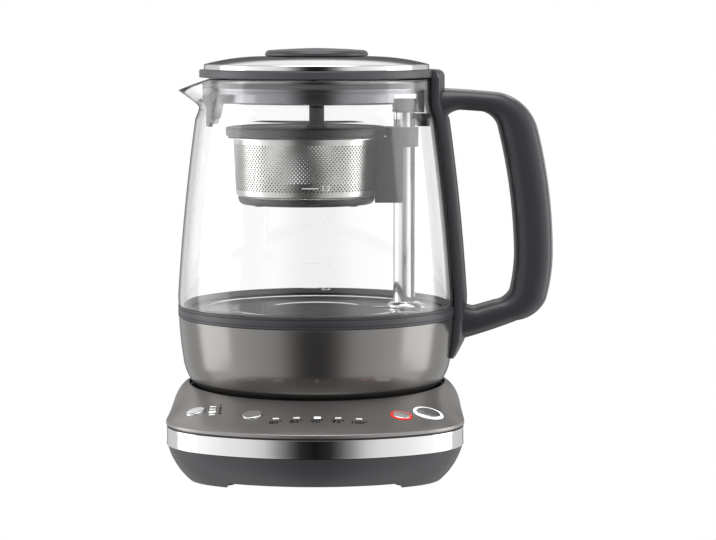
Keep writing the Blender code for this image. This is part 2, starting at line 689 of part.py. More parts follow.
def make_switch(body, name, place):
    """Push switch on the control board, under its button."""
    centre = panel_centre(*place[:2])
    low = board_lift(centre) + FIT
    half = SWITCH_SIZE / 2.0
    outline = rectangle(-half, half, -half, half)
    switch = extruded(name, outline, low, low + SWITCH_HEIGHT, "black plastic", body, centre, PRESS_TILT)
    tip_low = low + SWITCH_HEIGHT / 2.0
    tip_bar = bar_profile(SWITCH_TIP_RADIUS, tip_low, low + SWITCH_HEIGHT + SWITCH_TIP_HEIGHT)
    tip = turned(name + "_tip", tip_bar,
                 None, body, centre, SCREW_STEPS, PRESS_TILT)
    return combine(switch, tip, "UNION")


def make_control_board(body):
    """Crescent circuit board under the panel, square to the way the buttons travel."""
    steps = 14
    angles = [BOARD_SPREAD * (2.0 * k / steps - 1.0) for k in range(steps + 1)]
    outline = [(BOARD_INNER_RADIUS, angle) for angle in angles]
    outline += [(base_radius(angle, BOARD_EDGE_GAP), angle) for angle in reversed(angles)]
    rings = []
    for depth in (BOARD_DEPTH + BOARD_THICKNESS, BOARD_DEPTH):
        ring = []
        for radius, angle in outline:
            x = radius * math.sin(angle)
            y = -radius * math.cos(angle)
            ring.append((x, y, board_height(x, y, depth)))
        rings.append(ring)
    return lofted("control_board", rings, "circuit board", body)


def window_offsets(count, pitch):
    """Places of a row of light windows about its middle."""
    return [pitch * (k - (count - 1) / 2.0) for k in range(count)]


def make_light_guide(body, name, place, count, pitch, across):
    """Clear comb whose teeth fill the light windows: across puts the row along X, otherwise up the panel."""
    centre = panel_centre(*place)
    half_width = WINDOW_WIDTH / 2.0
    half_depth = WINDOW_DEPTH / 2.0
    reach = half_width if across else half_depth
    thick = half_depth if across else half_width
    places = window_offsets(count, pitch)
    low = -GUIDE_DROP - GUIDE_BAR
    outline = [(places[0] - reach, low), (places[-1] + reach, low)]
    for k in reversed(range(count)):
        for side in (reach, -reach):
            spot = places[k] + side
            lift = surface_lift(centre, *((spot, 0.0) if across else (0.0, spot)))
            tooth = [(spot, lift), (spot, -GUIDE_DROP)]
            if k == count - 1 and side > 0:
                tooth = [(spot, lift)]
            if k == 0 and side < 0:
                tooth = [(spot, lift)]
            outline += tooth if side < 0 else tooth[::-1]
    rings = [[(a, b, h) if across else (b, a, h) for a, h in outline] for b in (-thick, thick)]
    return lofted(name, rings, "clear plastic", body, place=centre, tilt=PRESS_TILT)


def window_cutters(body, name, place, count, pitch, across):
    """One object with a block for each light window of a row."""
    centre = panel_centre(*place)
    bm = bmesh.new()
    for spot in window_offsets(count, pitch):
        block = bmesh.ops.create_cube(bm, size=1.0)["verts"]
        size = (WINDOW_WIDTH + 2.0 * FIT, WINDOW_DEPTH + 2.0 * FIT, 4.0 * GUIDE_DROP)
        bmesh.ops.scale(bm, vec=size, verts=block)
        bmesh.ops.translate(bm, vec=(spot, 0.0, 0.0) if across else (0.0, spot, 0.0), verts=block)
    return finish_piece(bm, name, None, body, centre, PRESS_TILT)


def make_top_cover(body):
    """Smoked-steel shell: level lip, crowned sides, long slope to the front and a round edge at the seat."""
    shares = (0.0, 0.06, 0.18, 0.35, 0.55, 0.78, 1.0)
    under = (1.0, 0.8, 0.4, 0.0)
    rings = [base_ring(0.0, COVER_BOTTOM)]
    rings += [cover_ring(share, 0.0) for share in shares]
    rings += [cover_ring(share, COVER_WALL) for share in under]
    cover = lofted("base_top_cover", rings, "smoked steel", body, joined=True)
    buttons = ((STRENGTH_BUTTON, False), (TEMPERATURE_BUTTON, False), (WARM_BUTTON, True),
               (START_BUTTON, True))
    for k, (place, ringed) in enumerate(buttons):
        angle, share, radius = place
        hole = radius + FIT + (LIGHT_RING_WIDTH + FIT if ringed else 0.0)
        profile = bar_profile(hole, -3.0 * GUIDE_DROP, 2.0 * GUIDE_DROP)
        centre = panel_centre(angle, share)
        combine(cover, turned("button_hole_%d" % k, profile, None, body, centre, SMALL_STEPS, PRESS_TILT),
                "DIFFERENCE")
    combine(cover, window_cutters(body, "strength_windows", STRENGTH_LIGHTS, 4, STRENGTH_LIGHT_PITCH, False),
            "DIFFERENCE")
    combine(cover, window_cutters(body, "temperature_windows", TEMPERATURE_LIGHTS, 5,
                                  TEMPERATURE_LIGHT_PITCH, True),
            "DIFFERENCE")
    return cover


def make_jug_seat(body):
    """Dark tray that the jug stands in, with a flange under the cover and bosses for the base screws."""
    wall_top = SEAT_EDGE - SEAT_LEAN - 0.5 * MM
    outer = SEAT_EDGE_RADIUS - FIT
    edge = outer + SEAT_FLANGE
    ceiling = min(cover_height(edge * math.sin(a), -edge * math.cos(a), COVER_WALL) for a in base_angles())
    flange_top = ceiling - 2.0 * FIT
    under = SEAT_FLOOR - SEAT_WALL
    bore = CONNECTOR_RADIUS + FIT
    profile = [(bore, SEAT_FLOOR), (SEAT_FLOOR_RADIUS, SEAT_FLOOR), (outer - SEAT_WALL, wall_top - 0.8 * MM),
               (outer - SEAT_WALL * 0.7, wall_top), (outer, wall_top), (outer, flange_top),
               (edge, flange_top), (edge, flange_top - SEAT_WALL),
               (outer - SEAT_WALL, flange_top - SEAT_WALL), (SEAT_FLOOR_RADIUS - SEAT_WALL, under),
               (bore, under)]
    seat = turned("jug_seat", profile, "black plastic", body)
    boss_foot = FLOOR_TOP + 2.0 * MM
    for k, (x, y) in enumerate(screw_places()):
        boss = bar_profile(SCREW_RADIUS + 2.2 * MM, boss_foot, under + SEAT_WALL / 2.0)
        combine(seat, turned("screw_boss_%d" % k, boss, None, body, (x, y, 0.0), SCREW_STEPS), "UNION")
        bore_top = BASE_FLOOR_UNDER + SCREW_LENGTH + 1.0 * MM
        hole = bar_profile(SCREW_RADIUS + FIT, 0.0, bore_top)
        combine(seat, turned("boss_hole_%d" % k, hole, None, body, (x, y, 0.0), SCREW_STEPS), "DIFFERENCE")
    return seat


def make_base_connector(body):
    """Round plug with a contact groove and a centre hole, so that the jug can stand at any angle."""
    top = SEAT_FLOOR + CONNECTOR_HEIGHT
    under = SEAT_FLOOR - SEAT_WALL - FIT
    floor = top - CONTACT_DEPTH
    pin_hole = CENTRE_PIN_RADIUS + 0.6 * MM
    profile = [(0.0, under - 2.2 * MM), (CONNECTOR_RADIUS + 4.0 * MM, under - 2.2 * MM),
               (CONNECTOR_RADIUS + 4.0 * MM, under), (CONNECTOR_RADIUS, under),
               (CONNECTOR_RADIUS, top - 1.0 * MM), (CONNECTOR_RADIUS - 1.0 * MM, top),
               (CONTACT_GROOVE_OUTER, top), (CONTACT_GROOVE_OUTER, floor), (CONTACT_GROOVE_INNER, floor),
               (CONTACT_GROOVE_INNER, top), (pin_hole, top), (pin_hole, floor), (0.0, floor)]
    return turned("base_connector", profile, "black plastic", body, steps=20)


def make_feet(body):
    """Four rubber feet under the tub."""
    top = BASE_FLOOR_UNDER - FIT
    profile = [(0.0, 0.0), (FOOT_RADIUS - 0.6 * MM, 0.0), (FOOT_RADIUS, 0.8 * MM), (FOOT_RADIUS, top),
               (0.0, top)]
    for name, angle in (("front", FRONT_FOOT_ANGLE), ("rear", REAR_FOOT_ANGLE)):
        radius = base_radius(angle, FOOT_INSET)
        for side, sign in (("left", -1), ("right", 1)):
            place = (sign * radius * math.sin(angle), -radius * math.cos(angle), 0.0)
            turned("foot_%s_%s" % (name, side), profile, "rubber", body, place, SMALL_STEPS)


def make_base_screws(body):
    """Four screws from under the tub into the seat's bosses."""
    head_top = BASE_FLOOR_UNDER - FIT
    profile = [(0.0, head_top - SCREW_HEAD_HEIGHT), (SCREW_HEAD_RADIUS, head_top - SCREW_HEAD_HEIGHT),
               (SCREW_HEAD_RADIUS, head_top), (SCREW_RADIUS, head_top),
               (SCREW_RADIUS, head_top + SCREW_LENGTH),
               (0.0, head_top + SCREW_LENGTH)]
    for k, (x, y) in enumerate(screw_places()):
        turned("base_screw_%d" % (k + 1), profile, "brushed steel", body, (x, y, 0.0), SCREW_STEPS)


def make_cord_gland(body):
    """Flanged bush in the back wall, where a cord would leave the base."""
    length = GLAND_LENGTH
    profile = [(0.0, -2.0 * MM), (GLAND_RADIUS, -2.0 * MM), (GLAND_RADIUS, length - 1.0 * MM),
               (GLAND_RADIUS - 1.0 * MM, length), (GLAND_MOUTH_RADIUS, length),
               (GLAND_MOUTH_RADIUS, length - 3.5 * MM), (0.0, length - 3.5 * MM)]
    return turned("cord_gland", profile, "rubber", body, gland_place(), SMALL_STEPS, math.radians(-90.0))


def glass_profile():
    """Outer side of the glass from its foot to its rim, as (radius, height)."""
    shoulder_z = GLASS_TOP - SHOULDER_DROP
    neck_z = GLASS_TOP - NECK_HEIGHT
    widest_z = GLASS_BOTTOM + GLASS_FOOT_ARC
    foot = [(JUG_RADIUS - 0.2 * MM, GLASS_BOTTOM), (JUG_RADIUS, widest_z)]
    side = arc_points((JUG_RADIUS, widest_z), (SHOULDER_RADIUS, shoulder_z), GLASS_BULGE, 5)
    flare = arc_points((SHOULDER_RADIUS, shoulder_z), (NECK_RADIUS, neck_z), -0.5 * MM, 2)
    neck = arc_points((NECK_RADIUS, neck_z), (NECK_RADIUS, GLASS_TOP - 1.0 * MM), 0.0, 2)
    return chain(foot, side, flare, neck)


def glass_radius(height):
    """Outer radius of the glass at a height."""
    return across_at(glass_profile(), height)


def steel_profile():
    """Outer side of the smoked-steel jug base from its bottom lip to its top."""
    waist = (STEEL_WAIST_RADIUS, STEEL_TOP - STEEL_WAIST_DROP)
    foot = arc_points((STEEL_BOTTOM_RADIUS, STEEL_BOTTOM), waist, STEEL_FOOT_BULGE, 4)
    side = arc_points(waist, (STEEL_TOP_RADIUS, STEEL_TOP), STEEL_SIDE_BULGE, 3)
    return chain(foot, side)


def steel_radius(height):
    """Outer radius of the jug's steel base at a height."""
    return across_at(steel_profile(), height)


def jug_radius(height):
    """Outer radius of the standing jug at a height: steel base, seam ring or glass."""
    if height < STEEL_TOP:
        return steel_radius(height)
    if height < GLASS_BOTTOM:
        return JUG_RADIUS
    return glass_radius(height)


def spout_angles():
    """Directions round the glass, closer together at the spout, which lies at half a turn."""
    fine = 10
    coarse = 26
    rest = math.pi - SPOUT_SPREAD
    spout = [math.pi - SPOUT_SPREAD + 2.0 * SPOUT_SPREAD * k / fine for k in range(fine)]
    round_back = [math.pi + SPOUT_SPREAD + 2.0 * rest * k / coarse for k in range(coarse)]
    return spout + round_back


def spout_share(angle):
    """How far a direction lies within the spout, from 0 at its sides to 1 in its middle."""
    off = abs(math.remainder(angle - math.pi, math.tau)) / SPOUT_SPREAD
    if off >= 1.0:
        return 0.0
    return math.cos(off * math.pi / 2.0) ** 2


def glass_ring(radius, height):
    """One ring of the glass, drawn out and down towards the spout near the rim."""
    root = GLASS_TOP - SPOUT_DEPTH
    rise = max(0.0, (height - root) / SPOUT_DEPTH)
    ring = []
    for angle in spout_angles():
        pull = spout_share(angle)
        level_out = max(0.0, glass_radius(root) - glass_radius(height)) * min(1.0, rise * 2.0)
        out = radius + pull * (SPOUT_REACH * rise ** 1.2 + level_out)
        ring.append((out * math.cos(angle), out * math.sin(angle), height - pull * SPOUT_DROP * rise))
    return ring


def make_glass_jug(body):
    """Open glass wall with a straight neck, a flared shoulder and a pulled spout."""
    outer = glass_profile()
    rounding = 0.8 * MM
    rim = [(NECK_RADIUS - rounding, GLASS_TOP), (NECK_BORE + rounding, GLASS_TOP)]
    inner = [(radius - GLASS_WALL, height) for radius, height in outer[::-2]]
    rings = [glass_ring(radius, height) for radius, height in outer + rim + inner]
    return lofted("glass_jug", rings, "clear glass", body, joined=True)


def make_jug_base_cover(body):
    """Smoked-steel shell under the glass, turned in at the bottom."""
    outer = steel_profile()
    lip = STEEL_BOTTOM_RADIUS - STEEL_LIP
    inner = [(radius - STEEL_WALL, height) for radius, height in outer[:0:-2]]
    fold = STEEL_BOTTOM + STEEL_WALL
    profile = outer + inner + [(STEEL_BOTTOM_RADIUS, fold), (lip, fold), (lip, STEEL_BOTTOM)]
    return turned("jug_base_cover", profile, "smoked steel", body, steps=ROUND_STEPS)


def make_seam_ring(body):
    """Dark ring between steel and glass, with a shelf that carries the jug's steel floor."""
    wall = JUG_RADIUS - GLASS_WALL - 0.4 * MM
    profile = [(JUG_RADIUS, SEAM_BOTTOM), (JUG_RADIUS, SEAM_TOP), (wall, SEAM_TOP), (wall, SHELF_TOP),
               (SEAM_SHELF_INNER, SHELF_TOP), (SEAM_SHELF_INNER, SEAM_BOTTOM)]
    return turned("jug_seam_ring", profile, "charcoal plastic", body, steps=ROUND_STEPS)


def make_jug_floor(body):
    """Steel floor of the jug, with a hole for the lift post."""
    edge = JUG_RADIUS - GLASS_WALL - 0.4 * MM - FIT
    profile = bar_profile(edge, JUG_FLOOR_UNDER, JUG_FLOOR)
    floor = turned("jug_floor", profile, "brushed steel", body, steps=ROUND_STEPS)
    hole = turned("floor_hole", bar_profile(POST_RADIUS + FIT, POST_BOTTOM, JUG_FLOOR * 1.2), None, body,
                  (POST_X, 0.0, 0.0), SMALL_STEPS)
    return combine(floor, hole, "DIFFERENCE")


def make_glass_seal(body):
    """Silicone ring on the edge of the steel floor, inside the foot of the glass."""
    outer = JUG_RADIUS - GLASS_WALL - 0.2 * MM - GLASS_FACET - FIT
    low = JUG_FLOOR + FIT
    profile = [(outer - GLASS_SEAL_WIDTH, low), (outer, low), (outer, low + GLASS_SEAL_HEIGHT),
               (outer - 0.8 * MM, low + GLASS_SEAL_HEIGHT), (outer - GLASS_SEAL_WIDTH, low + 0.8 * MM)]
    return turned("glass_seal", profile, "silicone", body)


def make_bottom_cover(body):
    """Plastic cover under the jug with a standing ring and a stand for the lift motor."""
    edge = STEEL_BOTTOM_RADIUS - STEEL_LIP - FIT
    low = JUG_BOTTOM + JUG_FOOT_HEIGHT
    top = STEEL_BOTTOM + STEEL_WALL + FIT
    bore = socket_radius() + SOCKET_WALL + FIT
    foot = JUG_FOOT_RADIUS - JUG_FOOT_WIDTH
    profile = [(bore, low), (foot, low), (foot, JUG_BOTTOM), (JUG_FOOT_RADIUS, JUG_BOTTOM),
               (JUG_FOOT_RADIUS, low),
               (edge, low), (edge, top), (edge + STEEL_LIP - STEEL_WALL, top),
               (edge + STEEL_LIP - STEEL_WALL, top + BOTTOM_COVER), (bore, top + BOTTOM_COVER)]
    cover = turned("jug_bottom_cover", profile, "charcoal plastic", body)
    stand_low = top + BOTTOM_COVER / 2.0
    stand_top = motor_bottom() - FIT
    wall = MOTOR_RADIUS - MOTOR_STAND_WALL
    stand = [(wall, stand_low), (MOTOR_RADIUS, stand_low), (MOTOR_RADIUS, stand_top), (wall, stand_top)]
    return combine(cover, turned("motor_stand", stand, None, body, (POST_X, 0.0, 0.0), SMALL_STEPS), "UNION")


def socket_radius():
    """Inner radius of the jug's connector, over the base's plug."""
    return CONNECTOR_RADIUS + SOCKET_CLEARANCE


def motor_bottom():
    """Underside of the lift motor, whose spindle end meets the post."""
    return POST_BOTTOM - FIT - MOTOR_HEIGHT - MOTOR_RADIUS / 2.0


def make_jug_connector(body):
    """Upside-down cup in the jug's bottom with a contact ridge and a centre pin."""
    low = JUG_BOTTOM + JUG_FOOT_HEIGHT
    ceiling = SEAT_FLOOR + CONNECTOR_HEIGHT + SOCKET_CLEARANCE
    top = ceiling + SOCKET_WALL
    flange = STEEL_BOTTOM + STEEL_WALL + FIT + BOTTOM_COVER + FIT
    outer = socket_radius() + SOCKET_WALL
    ridge_foot = SEAT_FLOOR + CONNECTOR_HEIGHT - CONTACT_DEPTH + SOCKET_CLEARANCE
    ridge_out = CONTACT_GROOVE_OUTER - 0.7 * MM
    ridge_in = CONTACT_GROOVE_INNER + 0.7 * MM
    profile = [(0.0, ridge_foot), (CENTRE_PIN_RADIUS, ridge_foot), (CENTRE_PIN_RADIUS, ceiling),
               (ridge_in, ceiling), (ridge_in, ridge_foot), (ridge_out, ridge_foot), (ridge_out, ceiling),
               (socket_radius(), ceiling), (socket_radius(), low), (outer, low), (outer, flange),
               (outer + SOCKET_FLANGE, flange), (outer + SOCKET_FLANGE, flange + 1.8 * MM),
               (outer, flange + 1.8 * MM), (outer, top), (0.0, top)]
    return turned("jug_connector", profile, "black plastic", body, steps=20)


def make_heater(body):
    """Ring-shaped heating element pressed to the underside of the jug's floor."""
    top = JUG_FLOOR_UNDER - FIT
    low = top - 2.0 * HEATER_TUBE
    inner = HEATER_RADIUS - HEATER_TUBE
    outer = HEATER_RADIUS + HEATER_TUBE
    flat = HEATER_TUBE * 0.6
    right = arc_points((HEATER_RADIUS, low), (outer, low + HEATER_TUBE), 1.2 * MM, 3)
    left = arc_points((inner, low + HEATER_TUBE), (HEATER_RADIUS, low), 1.2 * MM, 3)
    profile = chain(right, [(HEATER_RADIUS + flat, top), (HEATER_RADIUS - flat, top)], left[:-1])
    return turned("heating_element", profile, "brushed steel", body, steps=SMALL_STEPS)


def make_temperature_sensor(body):
    """Button-shaped sensor against the middle of the jug's floor."""
    top = JUG_FLOOR_UNDER - FIT
    profile = [(0.0, top - SENSOR_HEIGHT), (SENSOR_RADIUS * 0.6, top - SENSOR_HEIGHT),
               (SENSOR_RADIUS * 0.6, top - SENSOR_HEIGHT / 2.0), (SENSOR_RADIUS, top - SENSOR_HEIGHT / 2.0),
               (SENSOR_RADIUS, top), (0.0, top)]
    return turned("temperature_sensor", profile, "black plastic", body, steps=SMALL_STEPS)


def make_post(body):
    """Steel tube that the basket rides on, from below the floor to its cap."""
    bore = POST_RADIUS - POST_WALL
    profile = [(bore, POST_BOTTOM), (POST_RADIUS, POST_BOTTOM), (POST_RADIUS, POST_TOP), (bore, POST_TOP)]
    post = turned("lift_post", profile, "polished steel", body, (POST_X, 0.0, 0.0), SMALL_STEPS)
    foot_low = JUG_FLOOR + FIT
    foot = [(POST_RADIUS + FIT, foot_low), (POST_FOOT_RADIUS, foot_low),
            (POST_FOOT_RADIUS, foot_low + 0.8 * MM), (POST_RADIUS + 1.2 * MM, foot_low + POST_FOOT_HEIGHT),
            (POST_RADIUS + FIT, foot_low + POST_FOOT_HEIGHT)]
    turned("post_foot", foot, "polished steel", body, (POST_X, 0.0, 0.0), SMALL_STEPS)
    cap_low = POST_TOP + FIT
    plug = bore - FIT
    cap = [(0.0, cap_low - 4.0 * MM), (plug, cap_low - 4.0 * MM), (plug, cap_low),
           (POST_CAP_RADIUS, cap_low),
           (POST_CAP_RADIUS, POST_CAP_TOP - 0.8 * MM), (POST_CAP_RADIUS - 0.8 * MM, POST_CAP_TOP),
           (0.0, POST_CAP_TOP)]
    turned("post_cap", cap, "grey plastic", body, (POST_X, 0.0, 0.0), SMALL_STEPS)
    return post


def make_lift_motor(body):
    """Motor on its stand under the post, with a narrower gearbox on top."""
    low = motor_bottom()
    neck = low + MOTOR_HEIGHT
    top = POST_BOTTOM - FIT
    profile = [(0.0, low), (MOTOR_RADIUS, low), (MOTOR_RADIUS, neck), (POST_RADIUS, neck),
               (POST_RADIUS, top),
               (0.0, top)]
    return turned("lift_motor", profile, "brushed steel", body, (POST_X, 0.0, 0.0), SMALL_STEPS)


def make_lead_screw(spinning):
    """Screw inside the post that drives the basket's magnet up and down."""
    low = POST_BOTTOM
    high = POST_TOP - 4.0 * MM
    profile = bar_profile(LEAD_SCREW_RADIUS, low, high)
    return turned("lead_screw", profile, "brushed steel", spinning, steps=SCREW_STEPS)


def make_lid(body):
    """Lid plug, seal, ring, steel dome and knob."""
    plug = [(0.0, PLUG_BOTTOM), (PLUG_NECK_RADIUS - 1.0 * MM, PLUG_BOTTOM),
            (PLUG_NECK_RADIUS, PLUG_BOTTOM + 1.0 * MM), (PLUG_NECK_RADIUS, PLUG_STEP),
            (PLUG_RADIUS, PLUG_STEP), (PLUG_RADIUS, PLUG_TOP), (0.0, PLUG_TOP)]
    core = turned("lid_plug", plug, "grey plastic", body)
    tall = 2.0 * PLUG_NECK_DEPTH
    flat = extruded("plug_flat", rectangle(PLUG_FLAT_X, NECK_RADIUS * 1.2, -NECK_RADIUS, NECK_RADIUS),
                    PLUG_STEP - tall, PLUG_STEP, None, body)
    combine(core, flat, "DIFFERENCE")
    combine(core, strainer_tongue(body), "UNION")
    combine(core, rear_tab(body), "UNION")
    socket = bar_profile(STEM_RADIUS + 2.0 * FIT, PLUG_BOTTOM - 2.0 * MM, PLUG_BOTTOM + STEM_SOCKET_DEPTH)
    combine(core, turned("stem_socket", socket, None, body, steps=SMALL_STEPS), "DIFFERENCE")
    seal_top = PLUG_TOP - LID_SEAL_DROP
    seal_low = seal_top - LID_SEAL_HEIGHT
    middle = (seal_top + seal_low) / 2.0
    inner = PLUG_RADIUS + FIT
    outer = NECK_BORE - GLASS_FACET - FIT
    seal = [(inner, seal_low), (outer - 0.6 * MM, seal_low), (outer, middle), (outer - 0.6 * MM, seal_top),
            (inner, seal_top)]
    turned("lid_seal", seal, "silicone", body, steps=ROUND_STEPS)
    make_lid_ring(body)
    make_lid_dome(body)
    make_lid_knob(body)


def strainer_tongue(body):
    """Curved tongue that hangs behind the spout; it narrows towards its foot."""
    outer = PLUG_RADIUS + 1.6 * MM
    inner = outer - TONGUE_THICKNESS
    top = PLUG_TOP - LID_SEAL_DROP - LID_SEAL_HEIGHT - FIT
    low = top - TONGUE_LENGTH
    rings = []
    for height, half in ((low, TONGUE_FOOT_HALF), (PLUG_STEP, TONGUE_TOP_HALF), (top, TONGUE_TOP_HALF)):
        steps = 8
        angles = [math.pi + half * (2.0 * k / steps - 1.0) for k in range(steps + 1)]
        outside = [(outer * math.cos(a), outer * math.sin(a), height) for a in angles]
        inside = [(inner * math.cos(a), inner * math.sin(a), height) for a in reversed(angles)]
        rings.append(outside + inside)
    return lofted("strainer_tongue", rings, None, body)


def rear_tab(body):
    """Tab at the back of the plug, between the post's cap and the handle."""
    outer = PLUG_RADIUS
    inner = outer - REAR_TAB_THICKNESS
    half = math.asin(REAR_TAB_HALF / outer)
    steps = 4
    angles = [half * (2.0 * k / steps - 1.0) for k in range(steps + 1)]
    outline = [(outer * math.cos(a), outer * math.sin(a)) for a in angles]
    outline += [(inner * math.cos(a), inner * math.sin(a)) for a in reversed(angles)]
    return extruded("rear_tab", outline, PLUG_STEP - REAR_TAB_DEPTH, PLUG_STEP + 2.0 * MM, None, body)


def make_lid_ring(body):
    """Plastic ring on the glass rim, notched where the handle's head stands."""
    top = LID_RING_BOTTOM + LID_RING_HEIGHT
    edge = 0.5 * MM
    profile = [(LID_RING_BORE, LID_RING_BOTTOM), (LID_RING_RADIUS - edge, LID_RING_BOTTOM),
               (LID_RING_RADIUS, LID_RING_BOTTOM + edge), (LID_RING_RADIUS, top - edge),
               (LID_RING_RADIUS - edge, top), (LID_RING_BORE, top)]
    ring = turned("lid_ring", profile, "grey plastic", body, steps=ROUND_STEPS)
    hook = NECK_RADIUS - SPINE_HOOK - FIT
    half = math.asin((SPINE_HALF_WIDTH + FIT) / hook)
    angles = [half * (k / 3.0 - 1.0) for k in range(7)]
    outline = [(hook * math.cos(a), hook * math.sin(a)) for a in angles]
    outline += [(hook * 1.2, outline[-1][1]), (hook * 1.2, outline[0][1])]
    notch = extruded("lid_notch", outline, LID_RING_BOTTOM - LID_RING_HEIGHT, top + LID_RING_HEIGHT, None,
                     body)
    return combine(ring, notch, "DIFFERENCE")


def make_lid_dome(body):
    """Pressed steel top of the lid with a polished side and a flat land under the knob."""
    edge = 0.6 * MM
    side = [(DOME_RADIUS, DOME_BOTTOM), (DOME_RADIUS, DOME_BOTTOM + DOME_SIDE - edge),
            (DOME_RADIUS - edge, DOME_BOTTOM + DOME_SIDE)]
    crown = arc_points(side[-1], (DOME_LAND_RADIUS, DOME_TOP), DOME_BULGE, 4)
    under = arc_points((DOME_LAND_RADIUS, DOME_TOP - DOME_WALL),
                       (DOME_RADIUS - edge - DOME_WALL, DOME_BOTTOM + DOME_SIDE - DOME_WALL), -DOME_BULGE, 2)
    bore = KNOB_STUB_RADIUS + FIT
    profile = chain(side, crown, [(bore, DOME_TOP), (bore, DOME_TOP - DOME_WALL)], under,
                    [(DOME_RADIUS - DOME_WALL, DOME_BOTTOM)])
    return turned("lid_dome", profile, "brushed steel", body, steps=ROUND_STEPS)


def make_lid_knob(body):
    """Flat round knob with a stub through the dome."""
    top = KNOB_BOTTOM + KNOB_HEIGHT
    rounding = 2.4 * MM
    side = [(KNOB_RADIUS, KNOB_BOTTOM), (KNOB_RADIUS, KNOB_BOTTOM + 1.2 * MM)]
    corner = arc_points(side[-1], (KNOB_RADIUS - rounding, top - 1.2 * MM), 0.5 * MM, 2)
    crown = arc_points(corner[-1], (0.0, top), 0.2 * MM, 2)
    foot = PLUG_TOP + FIT
    stub = [(0.0, foot), (KNOB_STUB_RADIUS, foot), (KNOB_STUB_RADIUS, KNOB_BOTTOM)]
    profile = chain(stub, side, corner, crown)
    return turned("lid_knob", profile, "charcoal plastic", body, steps=ROUND_STEPS)


def make_basket(body):
    """Perforated cup, plastic rim and base, carriage on the post and the magnet inside it."""
    centre = (BASKET_X - POST_X, 0.0, 0.0)
    step = BASKET_RIM_TOP - RIM_STEP_DEPTH
    rim = [(RIM_BORE, BASKET_RIM_BOTTOM), (RIM_RADIUS, BASKET_RIM_BOTTOM), (RIM_RADIUS, BASKET_RIM_TOP),
           (RIM_STEP_RADIUS, BASKET_RIM_TOP), (RIM_STEP_RADIUS, step), (RIM_BORE, step)]
    turned("basket_rim", rim, "grey plastic", body, centre)
    floor = CUP_BOTTOM + CUP_WALL
    cup = [(0.0, CUP_BOTTOM), (CUP_FOOT_RADIUS - 1.5 * MM, CUP_BOTTOM),
           (CUP_FOOT_RADIUS, CUP_BOTTOM + 1.5 * MM),
           (CUP_TOP_RADIUS, CUP_TOP - CUP_WALL), (CUP_FLANGE_RADIUS, CUP_TOP - CUP_WALL),
           (CUP_FLANGE_RADIUS, CUP_TOP), (CUP_TOP_RADIUS - CUP_WALL, CUP_TOP),
           (CUP_FOOT_RADIUS - CUP_WALL, CUP_BOTTOM + 1.5 * MM + CUP_WALL),
           (CUP_FOOT_RADIUS - 1.5 * MM - CUP_WALL, floor), (0.0, floor)]
    turned("basket_cup", cup, "brushed steel", body, centre)
    base_top = CUP_BOTTOM - FIT
    base_low = base_top - BASKET_BASE_HEIGHT
    base = [(0.0, base_low), (CUP_FOOT_RADIUS - 3.0 * MM, base_low),
            (CUP_FOOT_RADIUS - 1.0 * MM, base_low + 2.0 * MM),
            (CUP_FOOT_RADIUS - 0.5 * MM, base_top), (0.0, base_top)]
    bottom = turned("basket_base", base, "grey plastic", body, centre)
    for k, side in enumerate((-1, 1)):
        nub = bar_profile(NUB_RADIUS, base_low - NUB_HEIGHT, base_low + BASKET_BASE_HEIGHT / 2.0)
        place = (centre[0] + side * NUB_SPREAD, 0.0, 0.0)
        combine(bottom, turned("basket_nub_%d" % k, nub, None, body, place, SCREW_STEPS), "UNION")
    make_carriage(body, centre)
    magnet = [(LEAD_SCREW_RADIUS + MAGNET_GAP, BASKET_RIM_TOP - MAGNET_HEIGHT - 1.0 * MM),
              (POST_RADIUS - POST_WALL - MAGNET_GAP, BASKET_RIM_TOP - MAGNET_HEIGHT - 1.0 * MM),
              (POST_RADIUS - POST_WALL - MAGNET_GAP, BASKET_RIM_TOP - 1.0 * MM),
              (LEAD_SCREW_RADIUS + MAGNET_GAP, BASKET_RIM_TOP - 1.0 * MM)]
    turned("drive_magnet", magnet, "magnet", body, steps=SMALL_STEPS)


def make_carriage(body, centre):
    """Block between basket and post: a full collar above and a half collar below."""
    collar = POST_RADIUS + FIT + COLLAR_WALL
    steps = 12
    turns = [math.pi * (k / steps - 0.5) for k in range(steps + 1)]
    left = BASKET_X - POST_X + CUP_FOOT_RADIUS - 4.0 * MM
    outline = [(collar * math.cos(a), collar * math.sin(a)) for a in turns]
    outline = [(left, -collar)] + outline + [(left, collar)]
    low = BASKET_RIM_TOP - CARRIAGE_HEIGHT
    block = extruded("basket_carriage", outline, low, BASKET_RIM_TOP, "grey plastic", body)
    back = CARRIAGE_BACK_X - POST_X
    shorten = extruded("carriage_back", rectangle(back, 2.0 * collar, -2.0 * collar, 2.0 * collar),
                       low - COLLAR_HEIGHT, BASKET_RIM_TOP - COLLAR_HEIGHT, None, body)
    combine(block, shorten, "DIFFERENCE")
    bore = bar_profile(POST_RADIUS + FIT, low - COLLAR_HEIGHT, BASKET_RIM_TOP + COLLAR_HEIGHT)
    combine(block, turned("carriage_bore", bore, None, body, steps=SMALL_STEPS), "DIFFERENCE")
    gap = FIT
    bell = [(0.0, low - COLLAR_HEIGHT), (CUP_FOOT_RADIUS + gap, low - COLLAR_HEIGHT),
            (CUP_FOOT_RADIUS + gap, CUP_BOTTOM), (CUP_TOP_RADIUS + gap, CUP_TOP - CUP_WALL - gap),
            (RIM_RADIUS + gap, CUP_TOP - CUP_WALL - gap), (RIM_RADIUS + gap, BASKET_RIM_TOP + COLLAR_HEIGHT),
            (0.0, BASKET_RIM_TOP + COLLAR_HEIGHT)]
    return combine(block, turned("carriage_hollow", bell, None, body, centre), "DIFFERENCE")


